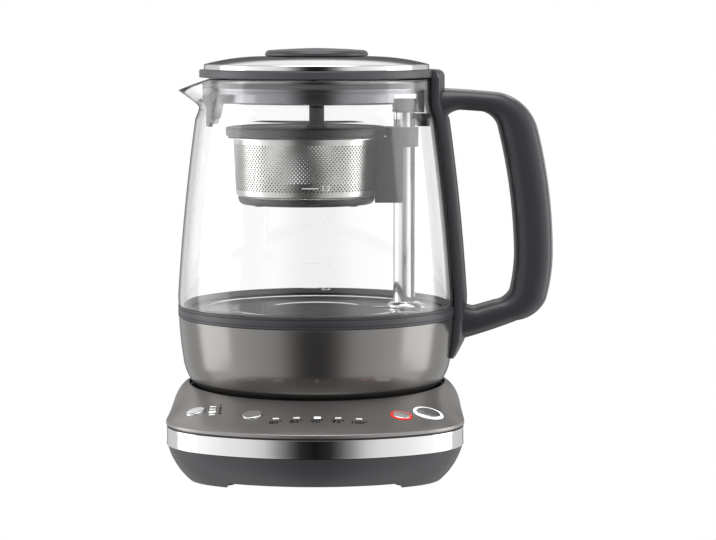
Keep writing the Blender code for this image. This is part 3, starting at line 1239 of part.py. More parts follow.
def make_basket_lid(body):
    """Flat lid in the basket's rim with a stem that reaches into the jug's lid."""
    low = BASKET_RIM_TOP - RIM_STEP_DEPTH + FIT
    top = low + BASKET_LID_THICKNESS
    edge = RIM_STEP_RADIUS - FIT
    centre = (BASKET_X, 0.0, 0.0)
    disc = [(0.0, low), (edge, low), (edge, top), (0.0, top)]
    lid = turned("basket_lid", disc, "grey plastic", body, centre)
    collar = [(STEM_RADIUS + FIT, low + FIT), (STEM_RADIUS + 2.5 * MM, low + FIT),
              (STEM_RADIUS + 1.5 * MM, top + 1.6 * MM), (STEM_RADIUS + FIT, top + 1.6 * MM)]
    combine(lid, turned("stem_collar", collar, None, body, steps=SMALL_STEPS), "UNION")
    stem_low = top + FIT
    stem_top = PLUG_BOTTOM + STEM_SOCKET_DEPTH - FIT
    stem = [(0.0, stem_low), (STEM_RADIUS, stem_low), (STEM_RADIUS, stem_top - 0.6 * MM),
            (STEM_RADIUS - 0.6 * MM, stem_top), (0.0, stem_top)]
    turned("basket_lid_stem", stem, "black plastic", body, steps=SMALL_STEPS)


def spine_front(height):
    """X of the handle spine's outer face at a height: it follows the jug and draws in at both ends."""
    top = GLASS_TOP + SPINE_RISE
    x = jug_radius(min(height, GLASS_TOP)) + SPINE_THICKNESS
    foot_share = min(1.0, max(0.0, (height - SPINE_BOTTOM) / (2.5 * SPINE_NOSE)))
    x -= SPINE_NOSE * (1.0 - foot_share)
    head_share = min(1.0, max(0.0, (top - height) / SPINE_NOSE))
    return x - SPINE_NOSE * (1.0 - math.sqrt(1.0 - (1.0 - head_share) ** 2))


def spine_ring(height, inner_radius, grow):
    """Section of the handle's spine: it hugs the jug inside and narrows to a rounded face outside."""
    half = SPINE_HALF_WIDTH + grow
    face = SPINE_FACE_HALF + grow
    front = spine_front(height) + grow
    reach = math.asin(half / inner_radius)
    steps = 6
    inside = [reach * (1.0 - 2.0 * k / steps) for k in range(steps + 1)]
    ring = [(inner_radius * math.cos(a), inner_radius * math.sin(a), height) for a in inside]
    edge_x = ring[0][0]
    waist = edge_x + (front - edge_x) * 0.55
    outside = [(waist, -half * 0.96), (front - 1.0 * MM, -face), (front, -face * 0.6), (front, face * 0.6),
               (front - 1.0 * MM, face), (waist, half * 0.96)]
    return ring + [(x, y, height) for x, y in outside]


def spine_rings(grow):
    """Sections of the spine from its foot to its head, which hooks over the glass rim."""
    heights = [SPINE_BOTTOM]
    heights += [z for _, z in steel_profile() if SPINE_BOTTOM + 1.0 * MM < z < STEEL_TOP]
    heights += [STEEL_TOP, GLASS_BOTTOM]
    heights += [z for _, z in glass_profile() if z > GLASS_BOTTOM + 1.0 * MM]
    hook_z = GLASS_TOP + FIT
    heights.append(hook_z)
    rings = []
    for height in sorted(heights):
        inner = jug_radius(min(height, GLASS_TOP)) + FIT - grow
        if STEEL_TOP <= height <= GLASS_BOTTOM:
            inner = JUG_RADIUS + FIT - grow
        rings.append(spine_ring(height, inner, grow))
    top = GLASS_TOP + SPINE_RISE
    hook = NECK_RADIUS - SPINE_HOOK - grow
    for height in (hook_z, top - SPINE_NOSE, top - SPINE_NOSE / 2.0, top - SPINE_NOSE / 5.0, top):
        if height >= hook_z:
            rings.append(spine_ring(height, hook, grow))
    return rings


def grip_rails():
    """Outer and inner lines of the handle's loop, as matching stations in (x, z)."""
    top = GLASS_TOP - GRIP_TOP_DROP
    low = GRIP_BOTTOM
    reach = GRIP_REACH
    inner = GRIP_REACH - GRIP_THICKNESS
    arm_top = top - GRIP_ARM - 9.0 * MM
    arm_low = low + GRIP_LOWER_ARM + 8.0 * MM
    root_top = spine_front(arm_top) - GRIP_ROOT
    root_low = spine_front(arm_low) - GRIP_ROOT
    widest = GLASS_BOTTOM + 30.0 * MM
    corner = (reach - 9.2 * MM, top - 23.2 * MM)
    inner_corner = (inner - 9.7 * MM, top - 23.2 * MM)
    bend = (reach - 0.233 * GRIP_REACH, top - 2.5 * MM)
    heel = (reach - 3.8 * MM, low + 24.0 * MM)
    chin = (reach - 0.149 * GRIP_REACH, low + 12.0 * MM)
    outer_line = chain(
        arc_points((spine_front(top) - GRIP_ROOT, top), bend, -0.3 * MM, 5),
        arc_points(bend, corner, -4.4 * MM, 5),
        arc_points(corner, (reach, widest), -2.2 * MM, 6),
        arc_points((reach, widest), heel, -1.0 * MM, 3),
        arc_points(heel, chin, -2.6 * MM, 4),
        arc_points(chin, (spine_front(low) - GRIP_ROOT, low), -0.5 * MM, 5))
    inner_line = chain(
        arc_points((root_top, arm_top), (root_top + 10.5 * MM, top - GRIP_ARM), 2.2 * MM, 3),
        arc_points((root_top + 10.5 * MM, top - GRIP_ARM),
                   (inner - 19.0 * MM, top - GRIP_ARM - 0.9 * MM), 0.0, 2),
        arc_points((inner - 19.0 * MM, top - GRIP_ARM - 0.9 * MM), inner_corner, -2.0 * MM, 5),
        arc_points(inner_corner, (inner, widest), -2.0 * MM, 6),
        arc_points((inner, widest), (inner - 2.5 * MM, low + 30.0 * MM), -0.6 * MM, 3),
        arc_points((inner - 2.5 * MM, low + 30.0 * MM), (inner - 11.1 * MM, low + 23.8 * MM), -1.4 * MM, 4),
        arc_points((inner - 11.1 * MM, low + 23.8 * MM),
                   (root_low + 9.0 * MM, low + GRIP_LOWER_ARM + 0.3 * MM),
                   0.0, 2),
        arc_points((root_low + 9.0 * MM, low + GRIP_LOWER_ARM + 0.3 * MM), (root_low, arm_low),
                   2.2 * MM, 3))
    return outer_line, inner_line


def grip_section(outer, inner, start, end):
    """Part of a rounded section between two shares of its width, from -1 inside to 1 outside."""
    middle = ((outer[0] + inner[0]) / 2.0, (outer[1] + inner[1]) / 2.0)
    half = ((outer[0] - inner[0]) / 2.0, (outer[1] - inner[1]) / 2.0)
    steps = 4
    first = math.asin(start)
    last = math.asin(end)
    ring = []
    for side in (1, -1):
        turns = [first + (last - first) * k / steps for k in range(steps + 1)]
        for turn in turns if side > 0 else reversed(turns):
            share = math.copysign(abs(math.sin(turn)) ** (2.0 / GRIP_SQUARENESS), turn)
            depth = abs(math.cos(turn)) ** (2.0 / GRIP_SQUARENESS) * GRIP_HALF_DEPTH
            ring.append((middle[0] + half[0] * share, side * depth, middle[1] + half[1] * share))
    return ring


def make_handle(body):
    """Spine against the jug, two-piece grip, clamp inside the neck and screw."""
    lofted("handle_spine", spine_rings(0.0), "charcoal plastic", body)
    outer_line, inner_line = grip_rails()
    split = math.sin(math.radians(90.0) * GRIP_SPLIT)
    seam = 0.012
    grips = (("handle_grip", -1.0, split - seam), ("handle_grip_cover", split + seam, 1.0))
    for name, start, end in grips:
        rings = [grip_section(o, i, start, end) for o, i in zip(outer_line, inner_line)]
        grip = lofted(name, rings, "charcoal plastic", body)
        clearance = lofted(name + "_root", spine_rings(FIT), None, body)
        combine(grip, clearance, "DIFFERENCE")
    clamp_top = GLASS_TOP - CLAMP_DROP
    clamp_low = clamp_top - CLAMP_HEIGHT
    wall = min(glass_radius(clamp_top), glass_radius(clamp_low)) - GLASS_WALL - FIT
    half = math.asin(CLAMP_HALF_WIDTH / wall)
    angles = [half * (k / 2.0 - 1.0) for k in range(5)]
    outline = [(wall * math.cos(a), wall * math.sin(a)) for a in angles]
    inner_face = POST_X + POST_RADIUS + FIT
    outline += [(inner_face, CLAMP_HALF_WIDTH), (inner_face, -CLAMP_HALF_WIDTH)]
    extruded("handle_clamp", outline, clamp_low, clamp_top, "black plastic", body)


def make_base():
    """Power base with everything in it; returns its empty."""
    axis_x = (BASE_HALF_WIDTH - GRIP_REACH) / 2.0
    axis_y = (BASE_FRONT_REACH - BASE_HALF_WIDTH) / 2.0
    body = add_empty("jug_axis", None, (axis_x, axis_y, 0.0))
    make_lower_body(body)
    make_chrome_band(body)
    make_top_cover(body)
    make_jug_seat(body)
    make_base_connector(body)
    make_feet(body)
    make_base_screws(body)
    make_cord_gland(body)
    make_control_board(body)
    buttons = (("strength", STRENGTH_BUTTON, False), ("temperature", TEMPERATURE_BUTTON, False),
               ("keep_warm", WARM_BUTTON, True), ("start", START_BUTTON, True))
    for name, place, ringed in buttons:
        make_button(body, name + "_button", place, ringed)
        make_switch(body, name + "_switch", place)
    make_light_ring(body, "keep_warm_light_ring", WARM_BUTTON, "red plastic")
    make_light_ring(body, "start_light_ring", START_BUTTON, "clear plastic")
    make_light_guide(body, "strength_light_guide", STRENGTH_LIGHTS, 4, STRENGTH_LIGHT_PITCH, False)
    make_light_guide(body, "temperature_light_guide", TEMPERATURE_LIGHTS, 5, TEMPERATURE_LIGHT_PITCH, True)
    return body


def make_jug(base):
    """Jug with its floor, heater, lift and handle; returns its empty."""
    body = add_empty("jug_lift", base)
    make_glass_jug(body)
    make_jug_base_cover(body)
    make_seam_ring(body)
    make_jug_floor(body)
    make_glass_seal(body)
    make_bottom_cover(body)
    make_jug_connector(body)
    make_heater(body)
    make_temperature_sensor(body)
    make_post(body)
    make_lift_motor(body)
    make_handle(body)
    return body


def main():
    start_empty_scene()
    base = make_base()
    jug = make_jug(base)
    make_lid(add_empty("lid_lift", jug))
    basket = add_empty("basket_travel", jug, (POST_X, 0.0, 0.0))
    make_basket(basket)
    make_basket_lid(add_empty("basket_lid_lift", basket, (-POST_X, 0.0, 0.0)))
    make_lead_screw(add_empty("lead_screw_spin", jug, (POST_X, 0.0, 0.0)))


main()
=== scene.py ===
"""Looks of the automatic tea maker: finishes, fine shapes, stage, lights and camera over its CAD frame.

Sizes are in metres. The front faces -Y, the handle points to +X and the spout to -X, as in the frame.
"""

import math

import bmesh
import bpy
from bpy.props import FloatProperty, FloatVectorProperty, IntProperty, PointerProperty
from mathutils import Matrix, Vector

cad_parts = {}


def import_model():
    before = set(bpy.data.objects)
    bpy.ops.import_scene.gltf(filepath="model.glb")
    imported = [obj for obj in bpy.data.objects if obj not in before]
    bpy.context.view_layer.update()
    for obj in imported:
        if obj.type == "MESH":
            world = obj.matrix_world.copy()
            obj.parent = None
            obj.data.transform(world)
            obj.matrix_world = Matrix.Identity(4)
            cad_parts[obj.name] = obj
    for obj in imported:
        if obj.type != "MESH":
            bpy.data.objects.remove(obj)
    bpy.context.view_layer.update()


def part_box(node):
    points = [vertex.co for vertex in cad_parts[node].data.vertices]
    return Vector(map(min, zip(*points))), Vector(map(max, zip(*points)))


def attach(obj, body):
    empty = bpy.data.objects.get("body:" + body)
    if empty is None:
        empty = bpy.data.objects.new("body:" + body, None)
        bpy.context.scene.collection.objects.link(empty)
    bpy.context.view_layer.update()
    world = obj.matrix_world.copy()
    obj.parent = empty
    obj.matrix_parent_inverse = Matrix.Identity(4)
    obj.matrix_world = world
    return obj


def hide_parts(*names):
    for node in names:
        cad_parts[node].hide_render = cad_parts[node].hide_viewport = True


bl_info = {
    "name": "Automatic tea maker",
    "version": (1, 0, 0),
    "blender": (4, 5, 0),
    "location": "3D View > Sidebar > Tea maker",
    "description": "Dresses the tea maker's CAD frame and sets up its studio",
    "category": "Object",
}

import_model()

MM = 0.001
# Gap between pieces that fit together
FIT = 0.3 * MM
# Radius that stands for a point on the axis of a turned piece
POLE = 0.002 * MM
# Points round a wide turned piece, round a small one and round the base
ROUND_STEPS = 144
SMALL_STEPS = 64
OUTLINE_STEPS = 180
OUTLINE_ANGLES = [math.tau * k / OUTLINE_STEPS for k in range(OUTLINE_STEPS)]
# Edges that turn by more than this, in degrees, stay sharp
SHARP = 32.0


def low(node, axis=2):
    """Lowest coordinate of a CAD node along an axis, at rest."""
    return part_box(node)[0][axis]


def high(node, axis=2):
    """Highest coordinate of a CAD node along an axis, at rest."""
    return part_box(node)[1][axis]


def middle(node, axis):
    """Middle of a CAD node along an axis, at rest."""
    return (low(node, axis) + high(node, axis)) / 2.0


def reach(node):
    """Radius of a round CAD node."""
    return (high(node, 1) - low(node, 1)) / 2.0


AXIS_X = middle("base_connector", 0)
AXIS_Y = middle("base_connector", 1)

# Heights, all taken from the frame
COVER_BOTTOM = low("base_top_cover")
SEAT_FLOOR = low("jug_bottom_cover") - FIT
GLASS_BOTTOM = low("glass_jug")
GLASS_TOP = high("glass_jug")
STEEL_BOTTOM = low("jug_base_cover")
STEEL_TOP = high("jug_base_cover")
SEAM_BOTTOM = low("jug_seam_ring")
SEAM_TOP = high("jug_seam_ring")
JUG_FLOOR = high("jug_floor")
PLUG_TOP = high("lid_plug")
BASKET_RIM_TOP = high("basket_rim")
BASKET_RIM_BOTTOM = low("basket_rim")
CUP_TOP = high("basket_cup")
CUP_BOTTOM = low("basket_cup")
POST_X = middle("lift_post", 0) - AXIS_X
BASKET_X = middle("basket_rim", 0) - AXIS_X


def length(name, description, millimetres):
    """A size that a user may change, given in millimetres."""
    return FloatProperty(name=name, description=description, default=millimetres * MM, min=0.0,
                         unit="LENGTH", subtype="DISTANCE", precision=4)


def turn(name, description, degrees):
    """An angle that a user may change, given in degrees."""
    return FloatProperty(name=name, description=description, default=math.radians(degrees),
                         unit="ROTATION", subtype="ANGLE")


def paint(name, description, code):
    """A colour that a user may change, given as sRGB hex."""
    return FloatVectorProperty(name=name, description=description, default=hex_colour(code), size=3,
                               min=0.0, max=1.0, subtype="COLOR")


def hex_colour(code):
    """Linear colour of an sRGB hex value."""
    channels = [int(code[k:k + 2], 16) / 255.0 for k in (0, 2, 4)]
    return tuple(c / 12.92 if c <= 0.04045 else ((c + 0.055) / 1.055) ** 2.4 for c in channels)


class TeaMakerBaseSizes(bpy.types.PropertyGroup):
    """Sizes of the power base."""
    half_width: length("Half width", "From the jug's axis to the side of the base",
                       (high("base_top_cover", 0) - low("base_top_cover", 0)) / 2.0 / MM)
    front_reach: length("Front reach", "From the jug's axis to the front of the base",
                        (AXIS_Y - low("base_top_cover", 1)) / MM)
    front_arc: length("Front arc", "Radius of the base's front edge", 112.0)
    corner_arc: length("Corner arc", "Radius of the base's front corners", 46.0)
    wall: length("Wall", "Wall of the lower body", 2.2)
    taper: length("Taper", "How far the skirt draws in to the table", 12.0)
    taper_bulge: length("Skirt bulge", "How far the skirt's section bows", 1.7)
    cover_wall: length("Cover wall", "Wall of the top cover", 1.8)
    seat_edge_radius: length("Seat edge radius", "Radius of the opening that the jug stands in", 74.0)
    seat_edge: length("Seat edge height", "Height of the cover at the seat", 46.8)
    seat_lean: length("Seat lean", "How much the cover's rim leans to the front", 1.6)
    seat_floor_radius: length("Seat floor radius", "Radius of the seat's floor", 69.0)
    press_tilt: turn("Panel slope", "Slope of the panel at the buttons", 12.0)
    numeral: length("Numeral height", "Height of the numbers on the panel", 5.2)


class TeaMakerJugSizes(bpy.types.PropertyGroup):
    """Sizes of the glass jug and its steel base."""
    radius: length("Radius", "Outer radius of the glass at its foot", reach("jug_seam_ring") / MM)
    neck_radius: length("Neck radius", "Outer radius of the glass neck", 66.9)
    shoulder_radius: length("Shoulder radius", "Outer radius where the neck begins to flare", 69.8)
    wall: length("Glass wall", "Wall of the glass", 2.7)
    neck_height: length("Neck height", "Straight part of the neck", 13.0)
    shoulder_drop: length("Shoulder drop", "From the rim to the shoulder", 23.5)
    bulge: length("Side bulge", "How far the glass side bows out", 1.0)
    foot_arc: length("Foot arc", "Height of the rounding at the glass foot", 5.0)
    spout_reach: length("Spout reach", "How far the lip is pulled out", 12.5)
    spout_drop: length("Spout drop", "How far the lip is pulled down", 7.0)
    spout_depth: length("Spout depth", "Height of the pulled part", 17.0)
    spout_spread: turn("Spout spread", "Half of the angle that the spout takes", 30.0)
    steel_bottom_radius: length("Steel bottom radius", "Radius of the steel base at its foot", 64.5)
    steel_waist_drop: length("Steel waist drop", "From the steel's top to its waist", 24.5)
    steel_wall: length("Steel wall", "Thickness of the steel base's shell", 1.2)
    mark_height: length("Mark height", "Height of the numbers on the glass", 4.2)


class TeaMakerBasketSizes(bpy.types.PropertyGroup):
    """Sizes of the tea basket, its lid and its post."""
    rim_radius: length("Rim radius", "Outer radius of the basket's rim", reach("basket_rim") / MM)
    rim_bore: length("Rim bore", "Bore of the basket's rim", 40.4)
    step_radius: length("Step radius", "Radius of the step that carries the lid", 43.2)
    cup_top_radius: length("Cup top radius", "Outer radius of the steel cup at its top", 41.5)
    cup_foot_radius: length("Cup foot radius", "Outer radius of the steel cup at its foot", 40.0)
    cup_wall: length("Cup wall", "Thickness of the cup's steel", 0.6)
    hole: length("Hole", "Diameter of one hole in the steel", 1.1)
    pitch: length("Hole pitch", "Distance between two holes of a row", 2.15)
    row_pitch: length("Row pitch", "Distance between two rows of holes", 1.2)
    rows: IntProperty(name="Rows of holes", description="Rows of holes round the cup", default=22, min=2)
    post_radius: length("Post radius", "Radius of the steel post", 6.35)


class TeaMakerHandleSizes(bpy.types.PropertyGroup):
    """Sizes of the handle."""
    spine_half_width: length("Spine half width", "Half of the spine's width at the jug", 14.5)
    spine_face_half: length("Spine face", "Half of the spine's outer face", 8.5)
    spine_thickness: length("Spine thickness", "From the jug to the spine's outer face", 6.6)
    grip_reach: length("Grip reach", "From the jug's axis to the grip's outer side",
                       (high("handle_grip_cover", 0) - AXIS_X) / MM)
    grip_thickness: length("Grip thickness", "Thickness of the grip seen from the front", 22.3)
    grip_half_depth: length("Grip half depth", "Half of the grip's depth", 11.5)


class TeaMakerColours(bpy.types.PropertyGroup):
    """Colours of the finishes."""
    smoked: paint("Smoked steel", "Tinted brushed steel of the jug's base", "7C7A78")
    cover: paint("Cover steel", "Tinted brushed steel of the panel", "94918F")
    bright: paint("Polished steel", "Polished trim, buttons and post", "DCDCDC")
    steel: paint("Brushed steel", "Lid dome, basket cup and jug floor", "C9C8C5")
    charcoal: paint("Charcoal plastic", "Handle and lower body", "37373B")
    grey: paint("Grey plastic", "Lid, rim and carriage", "46464A")
    black: paint("Black plastic", "Seat, stem and clamp", "18181A")
    silicone: paint("Silicone", "Seals", "77777A")
    ring: paint("Red ring", "Lit ring round the keep-warm button", "D4261C")
    lamp: paint("Lamp", "Light behind the lit tips", "FFFFFF")
    ink: paint("Ink", "Marks on the glass", "F4F4F2")
    # Lighter than the charcoal: a painted highlight along the grip's back
    grip: paint("Grip cover", "Outer shell of the grip", "6A6A6E")
    lacquer: paint("Grey lacquer", "Plug of the lid", "8A8A8E")
    milky: paint("Light guide", "Unlit light tips", "F2F2EE")
    board: paint("Circuit board", "Solder resist of the board", "1F5A38")
    ferrite: paint("Ferrite", "Drive magnet", "55555A")


def sizes(group):
    """One group of the user's sizes."""
    return getattr(bpy.context.scene, "tea_maker_" + group)


# Making shapes

def deselect_all():
    """Leaves nothing selected, in object mode."""
    if bpy.context.object and bpy.context.object.mode != "OBJECT":
        bpy.ops.object.mode_set(mode="OBJECT")
    bpy.ops.object.select_all(action="DESELECT")


def pick(piece):
    """Selects one piece alone and makes it active."""
    deselect_all()
    piece.select_set(True)
    bpy.context.view_layer.objects.active = piece


def arc(start, end, bulge, steps):
    """Points of an arc between two points; a positive bulge lies to the right of the way to the end."""
    start, end = Vector(start), Vector(end)
    along = (end - start).normalized()
    right = Vector((along.y, -along.x))
    half_span = (end - start).length / 2.0
    if abs(bulge) < POLE:
        return [tuple(start.lerp(end, k / steps)) for k in range(steps + 1)]
    radius = (half_span ** 2 + bulge ** 2) / (2.0 * abs(bulge))
    half = math.asin(min(1.0, half_span / radius))
    points = []
    for k in range(steps + 1):
        swing = half * (2.0 * k / steps - 1.0)
        go = half_span + radius * math.sin(swing)
        out = math.copysign(radius * (math.cos(swing) - math.cos(half)), bulge)
        points.append(tuple(start + along * go + right * out))
    return points


def chain(*runs):
    """Joins runs of points and leaves out points that repeat."""
    joined = []
    for point in (point for run in runs for point in run):
        if not joined or math.dist(point, joined[-1]) > POLE:
            joined.append(point)
    return joined


def round_points(radius, steps=SMALL_STEPS):
    """Points of a whole circle in plan."""
    return [(radius * math.cos(math.tau * k / steps), radius * math.sin(math.tau * k / steps))
            for k in range(steps)]


def fan(radius, swing, steps, middle_angle=0.0):
    """Points of an arc about the jug's axis, from a swing before the middle angle to a swing after it."""
    angles = [middle_angle + swing * (k / steps - 1.0) for k in range(2 * steps + 1)]
    return [(radius * math.cos(angle), radius * math.sin(angle)) for angle in angles]


def across_at(line, height):
    """First coordinate of a rising line of (across, height) points at a height."""
    for (a_low, z_low), (a_high, z_high) in zip(line, line[1:]):
        if z_low <= height <= z_high:
            return a_low + (a_high - a_low) * (height - z_low) / (z_high - z_low)
    return line[-1][0] if height > line[-1][1] else line[0][0]


def tidy(piece, merge=0.005 * MM):
    """Merges points that coincide and turns all faces outwards."""
    pick(piece)
    bpy.ops.object.mode_set(mode="EDIT")
    bpy.ops.mesh.select_all(action="SELECT")
    bpy.ops.mesh.remove_doubles(threshold=merge)
    bpy.ops.mesh.normals_make_consistent(inside=False)
    bpy.ops.object.mode_set(mode="OBJECT")
    return piece


def soften(piece, width, segments=2, angle=SHARP):
    """Rounds the sharp edges of a piece and shades it smooth between those that are left."""
    pick(piece)
    if width:
        bevel = piece.modifiers.new("Soft edges", "BEVEL")
        bevel.width = width
        bevel.segments = segments
        bevel.limit_method = "ANGLE"
        bevel.angle_limit = math.radians(angle)
        bevel.use_clamp_overlap = True
        bpy.ops.object.modifier_apply(modifier=bevel.name)
    bpy.ops.object.shade_smooth_by_angle(angle=math.radians(angle))
    return piece


def place(piece, at, tilt=0.0):
    """Leans a piece over about X, moves it from the origin to its place and keeps that in its mesh."""
    pick(piece)
    piece.matrix_world = Matrix.Translation(Vector(at)) @ Matrix.Rotation(tilt, 4, "X")
    bpy.ops.object.transform_apply(location=True, rotation=True, scale=True)
    return piece


def lathe(name, profile, at=None, steps=ROUND_STEPS, closed=False, soft=0.0, tilt=0.0, angle=SHARP):
    """Turns a profile of (radius, height): a circle is extruded and resized from point to point."""
    deselect_all()
    radius, height = profile[0]
    radius = max(radius, POLE)
    bpy.ops.mesh.primitive_circle_add(vertices=steps, radius=radius, fill_type="NOTHING",
                                      location=(0.0, 0.0, 0.0))
    piece = bpy.context.object
    piece.name = name
    bpy.ops.object.mode_set(mode="EDIT")
    bpy.ops.mesh.select_all(action="SELECT")
    bpy.ops.transform.translate(value=(0.0, 0.0, height))
    for next_radius, next_height in profile[1:]:
        next_radius = max(next_radius, POLE)
        rise = (0.0, 0.0, next_height - height)
        bpy.ops.mesh.extrude_edges_move(TRANSFORM_OT_translate={"value": rise})
        share = next_radius / radius
        bpy.ops.transform.resize(value=(share, share, 1.0), center_override=(0.0, 0.0, next_height))
        radius, height = next_radius, next_height
    if closed:
        bpy.ops.mesh.select_all(action="DESELECT")
        bpy.ops.mesh.select_non_manifold()
        bpy.ops.mesh.bridge_edge_loops()
    bpy.ops.object.mode_set(mode="OBJECT")
    soften(tidy(piece), soft, angle=angle)
    return place(piece, at or (AXIS_X, AXIS_Y, 0.0), tilt)


def rod(radius, bottom, top, at=None, steps=SMALL_STEPS, tilt=0.0):
    """Plain round rod to drill with."""
    return lathe("rod", [(0.0, bottom), (radius, bottom), (radius, top), (0.0, top)], at, steps, tilt=tilt)


def add(name, data):
    """Adds an object to the scene."""
    added = bpy.data.objects.new(name, data)
    bpy.context.collection.objects.link(added)
    return added


def bridge(bm, first, second):
    """Faces between two rings that have as many points."""
    for k in range(len(first)):
        beside = (k + 1) % len(first)
        bm.faces.new((first[k], first[beside], second[beside], second[k]))


def build(bm, name):
    """Makes the built faces an object, with its points merged and its faces turned outwards."""
    mesh = bpy.data.meshes.new(name)
    bm.to_mesh(mesh)
    bm.free()
    return tidy(add(name, mesh))


def skin(name, rings, at=None, joined=False, soft=0.0, tilt=0.0, angle=SHARP):
    """Skins rings of points that follow a formula; joined closes the last ring onto the first."""
    bm = bmesh.new()
    rows = [[bm.verts.new(point) for point in ring] for ring in rings]
    if not joined:
        bm.faces.new(rows[0])
        bm.faces.new(rows[-1])
    for first, second in zip(rows, rows[1:] + rows[:1] if joined else rows[1:]):
        bridge(bm, first, second)
    piece = soften(build(bm, name), soft, angle=angle)
    return place(piece, at or (AXIS_X, AXIS_Y, 0.0), tilt)


def slab(name, outline, bottom, top, at=None, soft=0.0, tilt=0.0):
    """Upright slab on a plan outline."""
    return skin(name, [[(x, y, z) for x, y in outline] for z in (bottom, top)], at, soft=soft, tilt=tilt)


def stretch(size, at):
    """Stretches the active primitive, one unit across, to its size about its place, and applies that."""
    bpy.ops.object.mode_set(mode="EDIT")
    bpy.ops.mesh.select_all(action="SELECT")
    bpy.ops.transform.resize(value=size, center_override=at)
    bpy.ops.object.mode_set(mode="OBJECT")
    bpy.ops.object.transform_apply(location=True, rotation=True, scale=True)
    return bpy.context.object


def combine(piece, tool, operation="DIFFERENCE"):
    """Cuts a tool from a piece or joins it on, and removes the tool."""
    pick(piece)
    modifier = piece.modifiers.new(operation.title(), "BOOLEAN")
    modifier.operation = operation
    modifier.solver = "EXACT"
    modifier.object = tool
    bpy.ops.object.modifier_apply(modifier=modifier.name)
    bpy.data.objects.remove(tool, do_unlink=True)
    return piece


def join(name, *pieces):
    """Joins pieces into one object."""
    pick(pieces[0])
    for piece in pieces[1:]:
        piece.select_set(True)
    bpy.ops.object.join()
    bpy.context.object.name = name
    return bpy.context.object


def settle(piece, material, slot, body, *nodes):
    """Gives a piece its finish and its body, and says which CAD nodes it stands for."""
    if material:
        piece.data.materials.clear()
        piece.data.materials.append(material)
    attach(piece, body)
    if nodes:
        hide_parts(*nodes)
    return piece


# Finishes

def node(tree, kind, settings=None, **links):
    """Adds a shader node with its settings; each link is an input's name and a value or a socket."""
    added = tree.nodes.new(kind)
    for name, value in (settings or {}).items():
        setattr(added, name, value)
    for name, value in links.items():
        key = int(name[1:]) if name[1:].isdigit() else name.replace("_", " ")
        if isinstance(value, bpy.types.NodeSocket):
            tree.links.new(value, added.inputs[key])
        else:
            added.inputs[key].default_value = value
    return added


def plain(name, colour, roughness, metallic=0.0, **more):
    """Material with a Principled shader; more sets its other inputs by name."""
    material = bpy.data.materials.get(name)
    if material:
        return material
    material = bpy.data.materials.new(name)
    material.use_nodes = True
    shader = material.node_tree.nodes["Principled BSDF"]
    shader.inputs["Base Color"].default_value = (*colour, 1.0)
    shader.inputs["Roughness"].default_value = roughness
    shader.inputs["Metallic"].default_value = metallic
    for key, value in more.items():
        shader.inputs[key.replace("_", " ")].default_value = value
    material.diffuse_color = (*colour, 1.0)
    return material


def grain(tree, scale, detail):
    """Noise over Object coordinates, stretched by scale."""
    spot = node(tree, "ShaderNodeTexCoord").outputs["Object"]
    stretched = node(tree, "ShaderNodeMapping", Vector=spot, Scale=scale).outputs["Vector"]
    return node(tree, "ShaderNodeTexNoise", Vector=stretched, Scale=1.0, Detail=detail).outputs["Fac"]


def vary_roughness(tree, noise, lowest, highest):
    """Lets a noise move the roughness between two values."""
    spread = node(tree, "ShaderNodeMapRange", Value=noise, i1=0.3, i2=0.7, i3=lowest, i4=highest)
    tree.links.new(spread.outputs["Result"], tree.nodes["Principled BSDF"].inputs["Roughness"])


def add_grain(material, scale, strength, depth):
    """Fine moulded grain as a bump."""
    tree = material.node_tree
    shader = tree.nodes["Principled BSDF"]
    if shader.inputs["Normal"].is_linked:
        return material
    bump = node(tree, "ShaderNodeBump", Height=grain(tree, scale, 3.0), Strength=strength, Distance=depth)
    tree.links.new(bump.outputs["Normal"], shader.inputs["Normal"])
    return material


def add_brushing(material, scale, lowest, highest):
    """Brush lines: noise stretched along the strokes makes the roughness come and go."""
    tree = material.node_tree
    if not tree.nodes["Principled BSDF"].inputs["Roughness"].is_linked:
        vary_roughness(tree, grain(tree, scale, 4.0), lowest, highest)
    return material


def jug_steel():
    """Smoked stainless steel, brushed round the jug: the strokes dull its highlights."""
    material = plain("smoked_steel_brushed_round", sizes("colours").smoked, 0.2, 0.85)
    # Strokes are about 0.1 mm apart on the real steel and drawn 0.4 mm apart so that they show
    return add_brushing(material, (12.0, 12.0, 2500.0), 0.17, 0.22)


def cover_steel():
    """Smoked stainless steel, brushed from side to side: a soft satin sheen over the panel."""
    material = plain("smoked_steel_brushed_across", sizes("colours").cover, 0.28, 0.85)
    # Strokes are about 0.1 mm apart on the real steel and drawn 0.4 mm apart so that they show
    return add_brushing(material, (12.0, 2500.0, 400.0), 0.3, 0.38)


def polished_steel():
    """Polished stainless steel: mirror-bright trim."""
    return plain("polished_stainless_steel", sizes("colours").bright, 0.07, 1.0)


def satin_steel():
    """Rolled stainless steel with a satin finish: blurred reflections."""
    return plain("satin_stainless_steel", sizes("colours").steel, 0.28, 1.0)


def cap_steel():
    """Stainless steel of the button caps: bright, with slightly blurred reflections."""
    return plain("soft_polished_stainless_steel", sizes("colours").bright, 0.17, 0.9)


